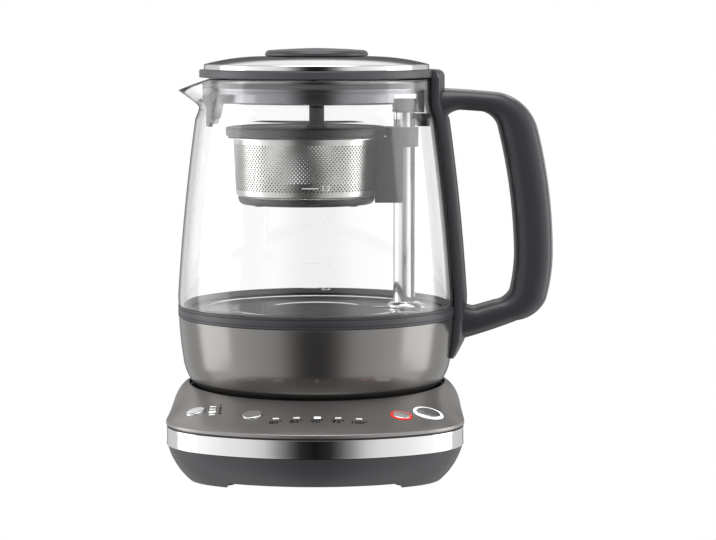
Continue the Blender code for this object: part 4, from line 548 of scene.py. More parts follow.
def spun_steel():
    """Stainless steel brushed in rings: light gathers in a wedge towards the viewer."""
    material = plain("stainless_steel_spun", sizes("colours").steel, 0.1, 1.0, Anisotropic=0.4)
    tree = material.node_tree
    shader = tree.nodes["Principled BSDF"]
    if shader.inputs["Tangent"].is_linked:
        return material
    tangent = node(tree, "ShaderNodeTangent", {"direction_type": "RADIAL", "axis": "Z"})
    tree.links.new(tangent.outputs["Tangent"], shader.inputs["Tangent"])
    spot = node(tree, "ShaderNodeTexCoord").outputs["Object"]
    centred = node(tree, "ShaderNodeVectorMath", {"operation": "SUBTRACT"}, i0=spot,
                   i1=(AXIS_X, AXIS_Y, 0.0)).outputs["Vector"]
    flat = node(tree, "ShaderNodeVectorMath", {"operation": "MULTIPLY"}, i0=centred,
                i1=(1.0, 1.0, 0.0)).outputs["Vector"]
    radius = node(tree, "ShaderNodeVectorMath", {"operation": "LENGTH"}, i0=flat).outputs["Value"]
    # Rings are about 0.1 mm apart on the real lid and drawn 0.4 mm apart so that they show
    rings = node(tree, "ShaderNodeTexNoise", {"noise_dimensions": "1D"}, W=radius, Scale=2500.0, Detail=2.0)
    vary_roughness(tree, rings.outputs["Fac"], 0.08, 0.13)
    return material


def charcoal_plastic():
    """Moulded ABS with a fine satin grain: soft broad highlights."""
    material = plain("charcoal_abs_satin", sizes("colours").charcoal, 0.36)
    # Moulded grain, 0.3 mm across
    return add_grain(material, (3300.0, 3300.0, 3300.0), 0.12, 0.02 * MM)


def grip_painted_highlight_plastic():
    """The grip's outer shell: the same ABS, smoother, in a lighter grey that is a painted highlight along
    the grip's back.
    """
    return plain("grey_abs_smooth_painted_highlight", sizes("colours").grip, 0.2)


def grey_plastic():
    """Moulded polypropylene, satin: a dull grey that lifts a little at its edges."""
    return plain("grey_polypropylene_satin", sizes("colours").grey, 0.38)


def black_plastic():
    """Moulded ABS, satin black."""
    return plain("black_abs_satin", sizes("colours").black, 0.4)


def clear_glass():
    """Borosilicate glass, blown and pressed: clear, with dark lines where the wall turns away."""
    return plain("borosilicate_glass", (1.0, 1.0, 1.0), 0.0, Transmission_Weight=1.0, IOR=1.47)


def lacquered_grey():
    """Grey lacquer with metal flake on the lid's plug: shines at its sides and darkens in front."""
    return plain("grey_metallic_lacquer", sizes("colours").lacquer, 0.24, 0.85)


def silicone():
    """Moulded silicone: matt and slightly soft."""
    return plain("moulded_silicone", sizes("colours").silicone, 0.6)


def rubber():
    """Moulded rubber: matt black."""
    return plain("moulded_rubber", sizes("colours").black, 0.8)


def milky_plastic():
    """Frosted polycarbonate light guide, unlit: milky white."""
    return plain("frosted_polycarbonate", sizes("colours").milky, 0.35)


def glowing(name, colour, roughness, strength):
    """Plastic that is lit from behind in its own colour."""
    return plain(name, colour, roughness, Emission_Color=(*colour, 1.0), Emission_Strength=strength)


def lit_plastic():
    """The same light guide with its lamp on."""
    return glowing("frosted_polycarbonate_lit", sizes("colours").lamp, 0.35, 1.6)


def red_ring():
    """Clear red polycarbonate, lit from behind."""
    return glowing("red_polycarbonate_lit", sizes("colours").ring, 0.3, 0.7)


def ink():
    """Screen-printed enamel ink: flat off-white."""
    return plain("white_enamel_ink", sizes("colours").ink, 0.5)


def dark_ink():
    """Screen-printed ink of the panel: flat black."""
    return plain("black_enamel_ink", sizes("colours").black, 0.9, Specular_IOR_Level=0.1)


def circuit_board():
    """Fibreglass board with green solder resist."""
    return plain("fibreglass_circuit_board", sizes("colours").board, 0.4)


def ferrite():
    """Sintered ferrite: dark grey and dull."""
    return plain("sintered_ferrite", sizes("colours").ferrite, 0.5, 0.6)


# Power base

def outline_radius(angle, inset):
    """Distance from the jug's axis to the base's side; angle is from the front, inset moves it in."""
    base = sizes("base")
    swing = abs(math.remainder(angle, math.tau))
    side_reach = base.half_width - inset
    if swing >= math.pi / 2.0 - 1e-6:
        return side_reach
    corner_x = base.half_width - base.corner_arc
    arc_y = base.front_reach - base.front_arc
    corner_y = arc_y + math.sqrt((base.front_arc - base.corner_arc) ** 2 - corner_x ** 2)
    side = side_reach / max(math.sin(swing), 1e-6)
    if side * math.cos(swing) <= corner_y:
        return side
    front = circle_hit(swing, 0.0, arc_y, base.front_arc - inset)
    over = front * math.sin(swing)
    ahead = front * math.cos(swing) - arc_y
    if over * (corner_y - arc_y) <= corner_x * ahead:
        return front
    return circle_hit(swing, corner_x, corner_y, base.corner_arc - inset)


def circle_hit(angle, centre_x, centre_y, radius):
    """Distance from the jug's axis to a circle, in a direction measured from the front."""
    dot = math.sin(angle) * centre_x + math.cos(angle) * centre_y
    return dot + math.sqrt(radius * radius - centre_x ** 2 - centre_y ** 2 + dot * dot)


def outline_ring(inset, height):
    """One level ring of the base's outline, about the jug's axis."""
    radii = [(angle, outline_radius(angle, inset)) for angle in OUTLINE_ANGLES]
    return [(radius * math.sin(angle), -radius * math.cos(angle), height) for angle, radius in radii]


def cover_point(angle, share, wall):
    """Point of the top cover, or one wall under it: share goes from its lip to the seat's edge."""
    base = sizes("base")
    lip_top = COVER_BOTTOM + base.cover_wall
    outer = outline_radius(angle, wall)
    side_span = base.half_width - base.seat_edge_radius
    power = 1.0 + 0.6 * side_span / (outline_radius(angle, 0.0) - base.seat_edge_radius)
    radius = outer - (outer - base.seat_edge_radius) * share
    edge = base.seat_edge - base.seat_lean * math.cos(angle)
    rise = (1.0 - (1.0 - share) ** power) ** (1.0 / power)
    return (radius * math.sin(angle), -radius * math.cos(angle), lip_top + (edge - lip_top) * rise - wall)


def cover_height(x, y, wall=0.0):
    """Height of the cover over a plan point about the jug's axis."""
    angle = math.atan2(x, -y)
    outer = outline_radius(angle, wall)
    share = (outer - math.hypot(x, y)) / (outer - sizes("base").seat_edge_radius)
    return cover_point(angle, min(1.0, max(0.0, share)), wall)[2]


def panel_spot(angle, share):
    """Point of the cover in a direction from the front, a share of the way from the seat to the side."""
    seat = sizes("base").seat_edge_radius
    radius = seat + share * (outline_radius(angle, 0.0) - seat)
    x, y = radius * math.sin(angle), -radius * math.cos(angle)
    return Vector((x, y, cover_height(x, y)))


def world(spot):
    """World place of a point about the jug's axis."""
    return Vector((AXIS_X, AXIS_Y, 0.0)) + Vector(spot)


def surface_lift(centre, x, y, wall=0.0):
    """Height of the cover over a panel point, in the tilted frame of a button at centre."""
    tilt = sizes("base").press_tilt
    lift = 0.0
    for _ in range(8):
        ahead = centre.y + y * math.cos(tilt) - lift * math.sin(tilt)
        height = cover_height(centre.x + x, ahead, wall)
        lift = (height - centre.z - y * math.sin(tilt)) / math.cos(tilt)
    return lift


def panel_ring(centre, radius, offset, wall=0.0):
    """Ring that follows the cover at a distance above or below it."""
    return [(x, y, surface_lift(centre, x, y, wall) + offset) for x, y in round_points(radius)]


def flat_ring(radius, height):
    """Level ring in a button's own frame."""
    return [(x, y, height) for x, y in round_points(radius)]


class TEAMAKER_OT_base(bpy.types.Operator):
    """Models the power base: lower body, chrome band, top cover, seat, connector and feet"""
    bl_idname = "teamaker.base"
    bl_label = "Power base"

    def execute(self, context):
        self.lower_body()
        self.band()
        self.cover()
        self.seat()
        self.connector()
        self.feet()
        return {"FINISHED"}

    def lower_body(self):
        """Charcoal tub: a bowed skirt over four feet, with shallow gaps between them."""
        base = sizes("base")
        band_low, rim = low("chrome_band"), high("base_lower_body")
        step, lip, gap_top, slant = 1.7 * MM, 0.9 * MM, 3.7 * MM, 4.5 * MM
        skirt = arc((lip + base.taper, 0.8 * MM), (lip, band_low - FIT), -base.taper_bulge, 14)
        floor = 6.4 * MM
        corner = across_at(skirt, floor) + base.wall
        inside = arc((step + base.wall, band_low), (corner, floor), base.taper_bulge / 2.0, 6)
        foot = lip + base.taper + base.wall
        levels = [(foot, 4.2 * MM), (foot, 0.8 * MM)] + skirt
        levels += [(step, band_low - FIT), (step, rim), (step + base.wall, rim)] + inside
        tub = skin("lower_body", [outline_ring(i, z) for i, z in levels])
        front, rear, side = -base.front_reach * 0.85, base.half_width * 0.85, base.half_width * 0.9
        for start, end, spot, depth, across in (
                (-46.0 * MM, 46.0 * MM, front, 30.0 * MM, True),
                (-34.0 * MM, 34.0 * MM, rear, 30.0 * MM, True),
                (-48.0 * MM, 22.0 * MM, -side, 25.0 * MM, False),
                (-48.0 * MM, 22.0 * MM, side, 25.0 * MM, False)):
            outline = [(start - slant, -gap_top), (end + slant, -gap_top), (end, gap_top), (start, gap_top)]
            rings = [[(go, spot + out, z) if across else (spot + out, go, z) for go, z in outline]
                     for out in (-depth, depth)]
            combine(tub, skin("gap", rings))
        cord_spot = world((0.0, base.half_width - base.taper, 13.0 * MM))
        combine(tub, rod(5.3 * MM, -9.0 * MM, 18.0 * MM, cord_spot, 32, math.radians(-90.0)))
        soften(tub, 0.35 * MM)
        settle(tub, charcoal_plastic(), "charcoal_plastic", "base", "base_lower_body")

    def band(self):
        """Chrome band between the tub and the cover."""
        bottom, top = low("chrome_band"), high("chrome_band")
        bow = arc((0.4 * MM, bottom), (0.4 * MM, top), 0.12 * MM, 6)
        levels = bow + [(1.4 * MM, top), (1.4 * MM, bottom)]
        band = skin("chrome_band_fine", [outline_ring(i, z) for i, z in levels], joined=True, soft=0.2 * MM)
        settle(band, polished_steel(), "polished_steel", "base", "chrome_band")

    def cover(self):
        """Smoked-steel shell with openings for the buttons and the light tips."""
        base = sizes("base")
        shares = (0.0, 0.01, 0.03, 0.06, 0.1, 0.16, 0.24, 0.33, 0.43, 0.54, 0.66, 0.78, 0.9, 0.97, 1.0)
        rings = [outline_ring(0.0, COVER_BOTTOM)]
        rings += [[cover_point(angle, share, 0.0) for angle in OUTLINE_ANGLES] for share in shares]
        rings += [[cover_point(angle, share, base.cover_wall) for angle in OUTLINE_ANGLES]
                  for share in (1.0, 0.8, 0.5, 0.2, 0.0)]
        cover = skin("top_cover", rings, joined=True, soft=0.35 * MM, angle=40.0)
        for angle, share, radius, ringed in BUTTONS.values():
            hole = radius + FIT + (RING_WIDTH + FIT if ringed else 0.0)
            at = world(panel_spot(math.radians(angle), share))
            combine(cover, rod(hole, -CUT_DEPTH, CUT_HEIGHT, at, tilt=base.press_tilt))
        for angle, share, count, pitch, across in LIGHTS.values():
            spots = [pitch * (k - (count - 1) / 2.0) for k in range(count)]
            windows = join("windows", *[tip_block(spot, across, 0.25 * MM, -CUT_DEPTH, CUT_HEIGHT)
                                        for spot in spots])
            at = world(panel_spot(math.radians(angle), share))
            combine(cover, place(windows, at, base.press_tilt))
        soften(cover, 0.0, angle=25.0)
        settle(cover, cover_steel(), "smoked_steel", "base", "base_top_cover")

    def seat(self):
        """Dark tray that the jug stands in."""
        base = sizes("base")
        wall, wall_top = 1.8 * MM, base.seat_edge - base.seat_lean - 0.5 * MM
        outer = base.seat_edge_radius - FIT
        flange = outer + 2.2 * MM
        quarters = (0.0, math.pi / 2.0, math.pi)
        top = min(cover_height(flange * math.sin(a), -flange * math.cos(a), base.cover_wall)
                  for a in quarters) - 0.6 * MM
        bore, under = 20.3 * MM, SEAT_FLOOR - wall
        profile = [(bore, SEAT_FLOOR), (base.seat_floor_radius, SEAT_FLOOR),
                   (outer - wall, wall_top - 0.8 * MM), (outer - 0.7 * wall, wall_top), (outer, wall_top),
                   (outer, top), (flange, top), (flange, top - wall), (outer - wall, top - wall),
                   (base.seat_floor_radius - wall, under), (bore, under)]
        seat = lathe("seat", profile, closed=True, soft=0.3 * MM)
        settle(seat, black_plastic(), "black_plastic", "base", "jug_seat")

    def connector(self):
        """Round plug with its contact groove."""
        top, under = high("base_connector"), SEAT_FLOOR - 2.1 * MM
        floor, radius = top - 5.0 * MM, 20.0 * MM
        profile = [(0.0, under - 2.2 * MM), (radius + 4.0 * MM, under - 2.2 * MM),
                   (radius + 4.0 * MM, under), (radius, under), (radius, top - 1.0 * MM),
                   (radius - 1.0 * MM, top), (13.2 * MM, top), (13.2 * MM, floor), (9.3 * MM, floor),
                   (9.3 * MM, top), (3.2 * MM, top), (3.2 * MM, floor), (0.0, floor)]
        plug = lathe("plug", profile, steps=96, soft=0.25 * MM)
        settle(plug, black_plastic(), "black_plastic", "base", "base_connector")

    def feet(self):
        """One rubber foot, copied to the other three places."""
        nodes = ["foot_front_left", "foot_front_right", "foot_rear_left", "foot_rear_right"]
        radius, top = reach(nodes[0]), high(nodes[0])
        profile = [(0.0, 0.25 * MM), (radius - 2.0 * MM, 0.25 * MM), (radius - 1.6 * MM, 0.0),
                   (radius - 0.6 * MM, 0.0), (radius, 0.8 * MM), (radius, top), (0.0, top)]
        first = lathe("rubber_foot", profile, (0.0, 0.0, 0.0), 48, soft=0.2 * MM)
        for name in nodes:
            foot = first.copy()
            foot.data = first.data.copy()
            foot.name = name.replace("foot", "rubber_foot")
            bpy.context.collection.objects.link(foot)
            place(foot, (middle(name, 0), middle(name, 1), 0.0))
            settle(foot, rubber(), "rubber", "base", name)
        bpy.data.objects.remove(first, do_unlink=True)


# Control panel: angle from the front, share of the way from the seat to the side, radius, lit ring
BUTTONS = {
    "strength": (-41.7, 0.6, 5.4 * MM, False),
    "temperature": (-20.3, 0.51, 5.4 * MM, False),
    "keep_warm": (28.1, 0.575, 4.8 * MM, True),
    "start": (38.5, 0.6, 7.0 * MM, True),
}
CAP_FLANGE = 1.2 * MM
FLANGE_GAP = 0.9 * MM
RING_WIDTH = 0.9 * MM
PLUNGER = 2.0 * MM
PRESS_TRAVEL = 1.0 * MM
SWITCH_TIP = 1.5 * MM
# How far the cover's openings are cut below and above the panel
CUT_DEPTH = 9.0 * MM
CUT_HEIGHT = 6.0 * MM
# Angle, share, number of tips, their pitch, and whether the row runs across the panel
LIGHTS = {
    "strength": (-35.9, 0.49, 4, 4.2 * MM, False),
    "temperature": (1.0, 0.53, 5, 11.3 * MM, True),
}
LIT_TIPS = {"strength": (1,), "temperature": (2,)}
# Length and width of one light tip
TIP = (3.6 * MM, 1.8 * MM)
TEMPERATURES = ("80°", "85°", "90°", "95°", "100°")


def tip_block(spot, across, grow, bottom, top):
    """Block of a light tip or its window at a place along its row."""
    deselect_all()
    at = (spot, 0.0, (bottom + top) / 2.0) if across else (0.0, spot, (bottom + top) / 2.0)
    bpy.ops.mesh.primitive_cube_add(size=1.0, location=at)
    return stretch((TIP[0] + 2.0 * grow, TIP[1] + 2.0 * grow, top - bottom), at)


def lettering(name, words, height, at=(0.0, 0.0, 0.0), slope=0.0, align="CENTER", bolder=0.0):
    """Flat mesh of plain numbers."""
    deselect_all()
    bpy.ops.object.text_add(location=at, rotation=(slope, 0.0, 0.0))
    text = bpy.context.object.data
    text.body, text.size, text.offset = words, height, bolder
    text.align_x, text.align_y = align, "CENTER"
    bpy.ops.object.convert(target="MESH")
    bpy.ops.object.transform_apply(location=True, rotation=True, scale=True)
    bpy.context.object.name = name
    return bpy.context.object


def print_on_panel(name, words, at, height):
    """Prints numbers on the cover: flat text laid on the surface point by point."""
    text = lettering(name, words, height, bolder=0.02 * height)
    for vertex in text.data.vertices:
        x, y = at[0] + vertex.co.x, at[1] + vertex.co.y
        vertex.co = world((x, y, cover_height(x, y) + 0.06 * MM))
    return text


class TEAMAKER_OT_panel(bpy.types.Operator):
    """Models the buttons, their lit rings, the light tips and the numbers of the panel"""
    bl_idname = "teamaker.panel"
    bl_label = "Control panel"

    def execute(self, context):
        for name in BUTTONS:
            self.button(name)
        for name in LIGHTS:
            self.light_guide(name)
        self.numbers()
        return {"FINISHED"}

    def button(self, name):
        """Dished steel cap with its flange and plunger, and the lit ring round it where it has one."""
        base = sizes("base")
        angle, share, radius, ringed = BUTTONS[name]
        centre = panel_spot(math.radians(angle), share)
        flange = radius + CAP_FLANGE + (RING_WIDTH if ringed else 0.0)
        underside = panel_ring(centre, flange, -FLANGE_GAP, base.cover_wall)
        flange_foot = min(point[2] for point in underside) - CAP_FLANGE
        # The plunger ends above its switch's tip by the travel and a fit
        slope = base.press_tilt
        tip = (high(name + "_switch") - centre.z - SWITCH_TIP * math.sin(slope)) / math.cos(slope)
        rings = [flat_ring(PLUNGER, tip + PRESS_TRAVEL + FIT), flat_ring(PLUNGER, flange_foot),
                 flat_ring(flange, flange_foot), underside,
                 panel_ring(centre, radius, -FLANGE_GAP, base.cover_wall)]
        rings += [panel_ring(centre, radius - inset, proud) for inset, proud in (
            (0.0, 0.3 * MM), (0.1 * MM, 0.5 * MM), (0.3 * MM, 0.66 * MM), (0.6 * MM, 0.7 * MM))]
        rings += [panel_ring(centre, radius * part, 0.7 * MM - 0.3 * MM * (1.0 - part * part))
                  for part in (0.8, 0.6, 0.4, 0.2, 0.05)]
        cap = skin(name + "_cap", rings, world(centre), tilt=base.press_tilt)
        settle(cap, cap_steel(), "polished_steel", name + "_key", name + "_button")
        if not ringed:
            return
        inner, outer = radius + FIT, radius + FIT + RING_WIDTH
        rings = [panel_ring(centre, inner, 0.0, base.cover_wall), panel_ring(centre, inner, 0.3 * MM),
                 panel_ring(centre, (inner + outer) / 2.0, 0.4 * MM), panel_ring(centre, outer, 0.3 * MM),
                 panel_ring(centre, outer, 0.0, base.cover_wall)]
        ring = skin(name + "_ring", rings, world(centre), joined=True, tilt=base.press_tilt)
        red = name == "keep_warm"
        settle(ring, red_ring() if red else lit_plastic(), "red_plastic" if red else "clear_plastic",
               "base", name + "_light_ring")

    def light_guide(self, name):
        """Comb of light tips; the lamp behind some of them is on."""
        angle, share, count, pitch, across = LIGHTS[name]
        centre = panel_spot(math.radians(angle), share)
        spots = [pitch * (k - (count - 1) / 2.0) for k in range(count)]
        bar_low, bar_high = -5.2 * MM, -3.6 * MM
        blocks = []
        for k, spot in enumerate(spots):
            lift = surface_lift(centre, *((spot, 0.0) if across else (0.0, spot)))
            block = tip_block(spot, across, 0.0, bar_high, lift + 0.12 * MM)
            block.data.materials.append(lit_plastic() if k in LIT_TIPS[name] else milky_plastic())
            blocks.append(soften(block, 0.25 * MM))
        deselect_all()
        span = spots[-1] - spots[0]
        size = (span + TIP[0], TIP[1]) if across else (TIP[0], span + TIP[1])
        at = (0.0, 0.0, (bar_low + bar_high) / 2.0)
        bpy.ops.mesh.primitive_cube_add(size=1.0, location=at)
        bar = stretch((*size, bar_high - bar_low), at)
        bar.data.materials.append(milky_plastic())
        guide = join(name + "_tips", soften(bar, 0.2 * MM), *blocks)
        place(guide, world(centre), sizes("base").press_tilt)
        settle(guide, None, "clear_plastic", "base", name + "_light_guide")

    def numbers(self):
        """Temperatures under their tips, and plain numbers beside the strength tips."""
        height = sizes("base").numeral
        angle, share, _, pitch, _ = LIGHTS["temperature"]
        centre = panel_spot(math.radians(angle), share)
        for k, words in enumerate(TEMPERATURES):
            spot = (centre.x + pitch * (k - 2), centre.y - 5.2 * MM)
            text = print_on_panel("number_" + str(80 + 5 * k), words, spot, height)
            settle(text, dark_ink(), "clear_plastic", "base")
        angle, share, count, pitch, _ = LIGHTS["strength"]
        centre = panel_spot(math.radians(angle), share)
        for k in range(count):
            spot = (centre.x + 4.2 * MM, centre.y + pitch * (1.5 - k))
            text = print_on_panel("step_" + str(k + 1), str(k + 1), spot, height * 0.8)
            settle(text, dark_ink(), "clear_plastic", "base")


# Jug

def steel_profile():
    """Outer side of the jug's steel base, from its foot to its top."""
    jug = sizes("jug")
    top_radius = reach("jug_base_cover")
    waist = (0.97 * top_radius, STEEL_TOP - jug.steel_waist_drop)
    foot = arc((jug.steel_bottom_radius, STEEL_BOTTOM), waist, 2.8 * MM, 12)
    return chain(foot, arc(waist, (top_radius, STEEL_TOP), 0.35 * MM, 10))


def glass_profile():
    """Outer side of the glass from its foot to its rim."""
    jug = sizes("jug")
    shoulder_z, neck_z = GLASS_TOP - jug.shoulder_drop, GLASS_TOP - jug.neck_height
    widest = (jug.radius, GLASS_BOTTOM + jug.foot_arc)
    side = arc(widest, (jug.shoulder_radius, shoulder_z), jug.bulge, 22)
    flare = arc((jug.shoulder_radius, shoulder_z), (jug.neck_radius, neck_z), -0.5 * MM, 8)
    neck = arc((jug.neck_radius, neck_z), (jug.neck_radius, GLASS_TOP - 1.0 * MM), 0.0, 10)
    return chain([(jug.radius - 0.2 * MM, GLASS_BOTTOM), widest], side, flare, neck)


def glass_radius(height):
    """Outer radius of the glass at a height."""
    return across_at(glass_profile(), height)


def jug_radius(height):
    """Outer radius of the standing jug at a height."""
    if height < STEEL_TOP:
        return across_at(steel_profile(), height)
    return sizes("jug").radius if height < GLASS_BOTTOM else glass_radius(height)


class TEAMAKER_OT_jug_base(bpy.types.Operator):
    """Models the jug's steel base, seam ring, floor, seal, bottom cover and connector"""
    bl_idname = "teamaker.jug_base"
    bl_label = "Jug base"

    def execute(self, context):
        jug = sizes("jug")
        outer = steel_profile()
        lip = jug.steel_bottom_radius - 2.8 * MM
        inner = [(radius - jug.steel_wall, height) for radius, height in outer[:0:-1]]
        fold = STEEL_BOTTOM + jug.steel_wall
        profile = outer + inner + [(jug.steel_bottom_radius, fold), (lip, fold), (lip, STEEL_BOTTOM)]
        steel = lathe("jug_steel", profile, closed=True, soft=0.4 * MM)
        settle(steel, jug_steel(), "smoked_steel", "jug", "jug_base_cover")
        self.seam()
        self.floor()
        self.underside()
        return {"FINISHED"}

    def seam(self):
        """Dark ring between steel and glass, with two fine grooves round it."""
        jug = sizes("jug")
        wall = jug.radius - jug.wall - 0.4 * MM
        shelf = SEAM_BOTTOM + 2.6 * MM
        bore = 0.885 * jug.radius
        groove = [(jug.radius, SEAM_BOTTOM)]
        for at in (1.3 * MM, 5.0 * MM):
            spot = SEAM_BOTTOM + at
            groove += [(jug.radius, spot - 0.25 * MM), (jug.radius - 0.35 * MM, spot - 0.15 * MM),
                       (jug.radius - 0.35 * MM, spot + 0.15 * MM), (jug.radius, spot + 0.25 * MM)]
        profile = groove + [(jug.radius, SEAM_TOP), (wall, SEAM_TOP), (wall, shelf), (bore, shelf),
                            (bore, SEAM_BOTTOM)]
        ring = lathe("seam_ring", profile, closed=True, soft=0.1 * MM)
        settle(ring, charcoal_plastic(), "charcoal_plastic", "jug", "jug_seam_ring")

    def floor(self):
        """Steel floor with pressed rings, and the silicone seal on its edge."""
        jug = sizes("jug")
        edge, under = jug.radius - jug.wall - 0.7 * MM, low("jug_floor")
        profile = [(0.0, under), (edge, under), (edge, JUG_FLOOR), (66.0 * MM, JUG_FLOOR),
                   (64.5 * MM, JUG_FLOOR - 0.4 * MM), (50.0 * MM, JUG_FLOOR - 0.4 * MM),
                   (48.5 * MM, JUG_FLOOR), (28.0 * MM, JUG_FLOOR), (26.5 * MM, JUG_FLOOR - 0.4 * MM),
                   (0.0, JUG_FLOOR - 0.4 * MM)]
        floor = lathe("steel_floor", profile, soft=0.3 * MM, angle=12.0)
        post_hole = sizes("basket").post_radius + FIT
        combine(floor, rod(post_hole, under - 4.0 * MM, JUG_FLOOR + 4.0 * MM, world((POST_X, 0.0, 0.0))))
        settle(floor, spun_steel(), "brushed_steel", "jug", "jug_floor")
        outer, bottom = jug.radius - jug.wall - 0.9 * MM, JUG_FLOOR + FIT
        profile = [(outer - 3.6 * MM, bottom), (outer, bottom), (outer, bottom + 3.2 * MM),
                   (outer - 0.8 * MM, bottom + 3.2 * MM), (outer - 3.6 * MM, bottom + 0.8 * MM)]
        seal = lathe("floor_seal", profile, closed=True, soft=0.25 * MM)
        settle(seal, silicone(), "silicone", "jug", "glass_seal")

    def underside(self):
        """Plastic cover under the jug with its standing ring, and the cup over the base's plug."""
        jug = sizes("jug")
        edge = jug.steel_bottom_radius - 2.8 * MM - FIT
        bottom, top = low("jug_connector"), STEEL_BOTTOM + jug.steel_wall + FIT
        standing, bore = 0.915 * jug.steel_bottom_radius, 24.0 * MM
        rim = edge + 2.8 * MM - jug.steel_wall
        table = low("jug_bottom_cover")
        profile = [(bore, bottom), (standing - 4.0 * MM, bottom), (standing - 4.0 * MM, table),
                   (standing, table), (standing, bottom), (edge, bottom), (edge, top),
                   (rim, top), (rim, top + 2.4 * MM), (bore, top + 2.4 * MM)]
        cover = lathe("bottom_cover", profile, closed=True, soft=0.25 * MM)
        stand_top = low("lift_motor") - FIT
        stand = lathe("stand", [(9.0 * MM, top + 1.2 * MM), (11.0 * MM, top + 1.2 * MM),
                                (11.0 * MM, stand_top), (9.0 * MM, stand_top)],
                      world((POST_X, 0.0, 0.0)), 48, closed=True)
        combine(cover, stand, "UNION")
        settle(cover, charcoal_plastic(), "charcoal_plastic", "jug", "jug_bottom_cover")
        ceiling = high("base_connector") + 1.5 * MM
        ridge, flange = high("base_connector") - 3.5 * MM, top + 2.7 * MM
        inner, outer = 21.5 * MM, 23.7 * MM
        profile = [(0.0, ridge), (2.6 * MM, ridge), (2.6 * MM, ceiling), (10.0 * MM, ceiling),
                   (10.0 * MM, ridge), (12.5 * MM, ridge), (12.5 * MM, ceiling), (inner, ceiling),
                   (inner, bottom), (outer, bottom), (outer, flange), (outer + 4.5 * MM, flange),
                   (outer + 4.5 * MM, flange + 1.8 * MM), (outer, flange + 1.8 * MM),
                   (outer, ceiling + 2.2 * MM), (0.0, ceiling + 2.2 * MM)]
        cup = lathe("contact_cup", profile, steps=96, soft=0.2 * MM)
        settle(cup, black_plastic(), "black_plastic", "jug", "jug_connector")


# Marks on the glass: litres and their height over the table
MARKS = {"0.3": 108.7 * MM, "0.5": 122.0 * MM, "0.9": 142.9 * MM, "1.2": 162.7 * MM}


def lay_on_glass(piece):
    """Wraps a flat piece that stands in the XZ plane round the front of the glass."""
    for vertex in piece.data.vertices:
        radius = glass_radius(vertex.co.z) + 0.05 * MM
        vertex.co = world((vertex.co.x, -math.sqrt(radius ** 2 - vertex.co.x ** 2), vertex.co.z))


class TEAMAKER_OT_glass(bpy.types.Operator):
    """Models the glass jug with its pulled spout, and the level marks on it"""
    bl_idname = "teamaker.glass"
    bl_label = "Glass jug"

    def execute(self, context):
        jug = sizes("jug")
        outer = glass_profile()
        bore = jug.neck_radius - jug.wall
        rim = [(jug.neck_radius - 0.35 * MM, GLASS_TOP - 0.25 * MM), (jug.neck_radius - 0.8 * MM, GLASS_TOP),
               (bore + 0.8 * MM, GLASS_TOP), (bore + 0.35 * MM, GLASS_TOP - 0.25 * MM)]
        inner = [(radius - jug.wall, height) for radius, height in outer[::-1]]
        glass = lathe("glass", outer + rim + inner, closed=True, angle=60.0)
        self.pull_spout(glass)
        settle(glass, clear_glass(), "clear_glass", "jug", "glass_jug")
        for litres, height in MARKS.items():
            self.mark(litres, height)
        return {"FINISHED"}

    def pull_spout(self, glass):
        """Draws the rim out and down on the spout's side; no operator gives this pulled shape."""
        jug = sizes("jug")
        root = GLASS_TOP - jug.spout_depth
        root_radius = glass_radius(root)
        for vertex in glass.data.vertices:
            x, y, z = vertex.co.x - AXIS_X, vertex.co.y - AXIS_Y, vertex.co.z
            angle = math.atan2(y, x)
            off = abs(math.remainder(angle - math.pi, math.tau)) / jug.spout_spread
            rise = max(0.0, (z - root) / jug.spout_depth)
            if off >= 1.0 or rise <= 0.0:
                continue
            pull = math.cos(off * math.pi / 2.0) ** 2
            level_out = max(0.0, root_radius - glass_radius(z)) * min(1.0, rise * 2.0)
            out = math.hypot(x, y) + pull * (jug.spout_reach * rise ** 1.2 + level_out)
            drop = pull * jug.spout_drop * rise
            vertex.co = world((out * math.cos(angle), out * math.sin(angle), z - drop))
        glass.data.update()

    def mark(self, litres, height):
        """One line with its number, in white ink on the front of the glass."""
        upright = math.radians(90.0)
        number = lettering("number", litres, sizes("jug").mark_height, (3.6 * MM, 0.0, height), upright,
                           "LEFT")
        deselect_all()
        at = (-2.5 * MM, 0.0, height)
        bpy.ops.mesh.primitive_grid_add(x_subdivisions=12, y_subdivisions=1, size=1.0, location=at,
                                        rotation=(upright, 0.0, 0.0))
        line = stretch((9.0 * MM, 1.0, 0.45 * MM), at)
        mark = join("mark_" + litres.replace(".", "_"), line, number)
        lay_on_glass(mark)
        settle(mark, ink(), "clear_plastic", "jug")


# Post, basket and its lid

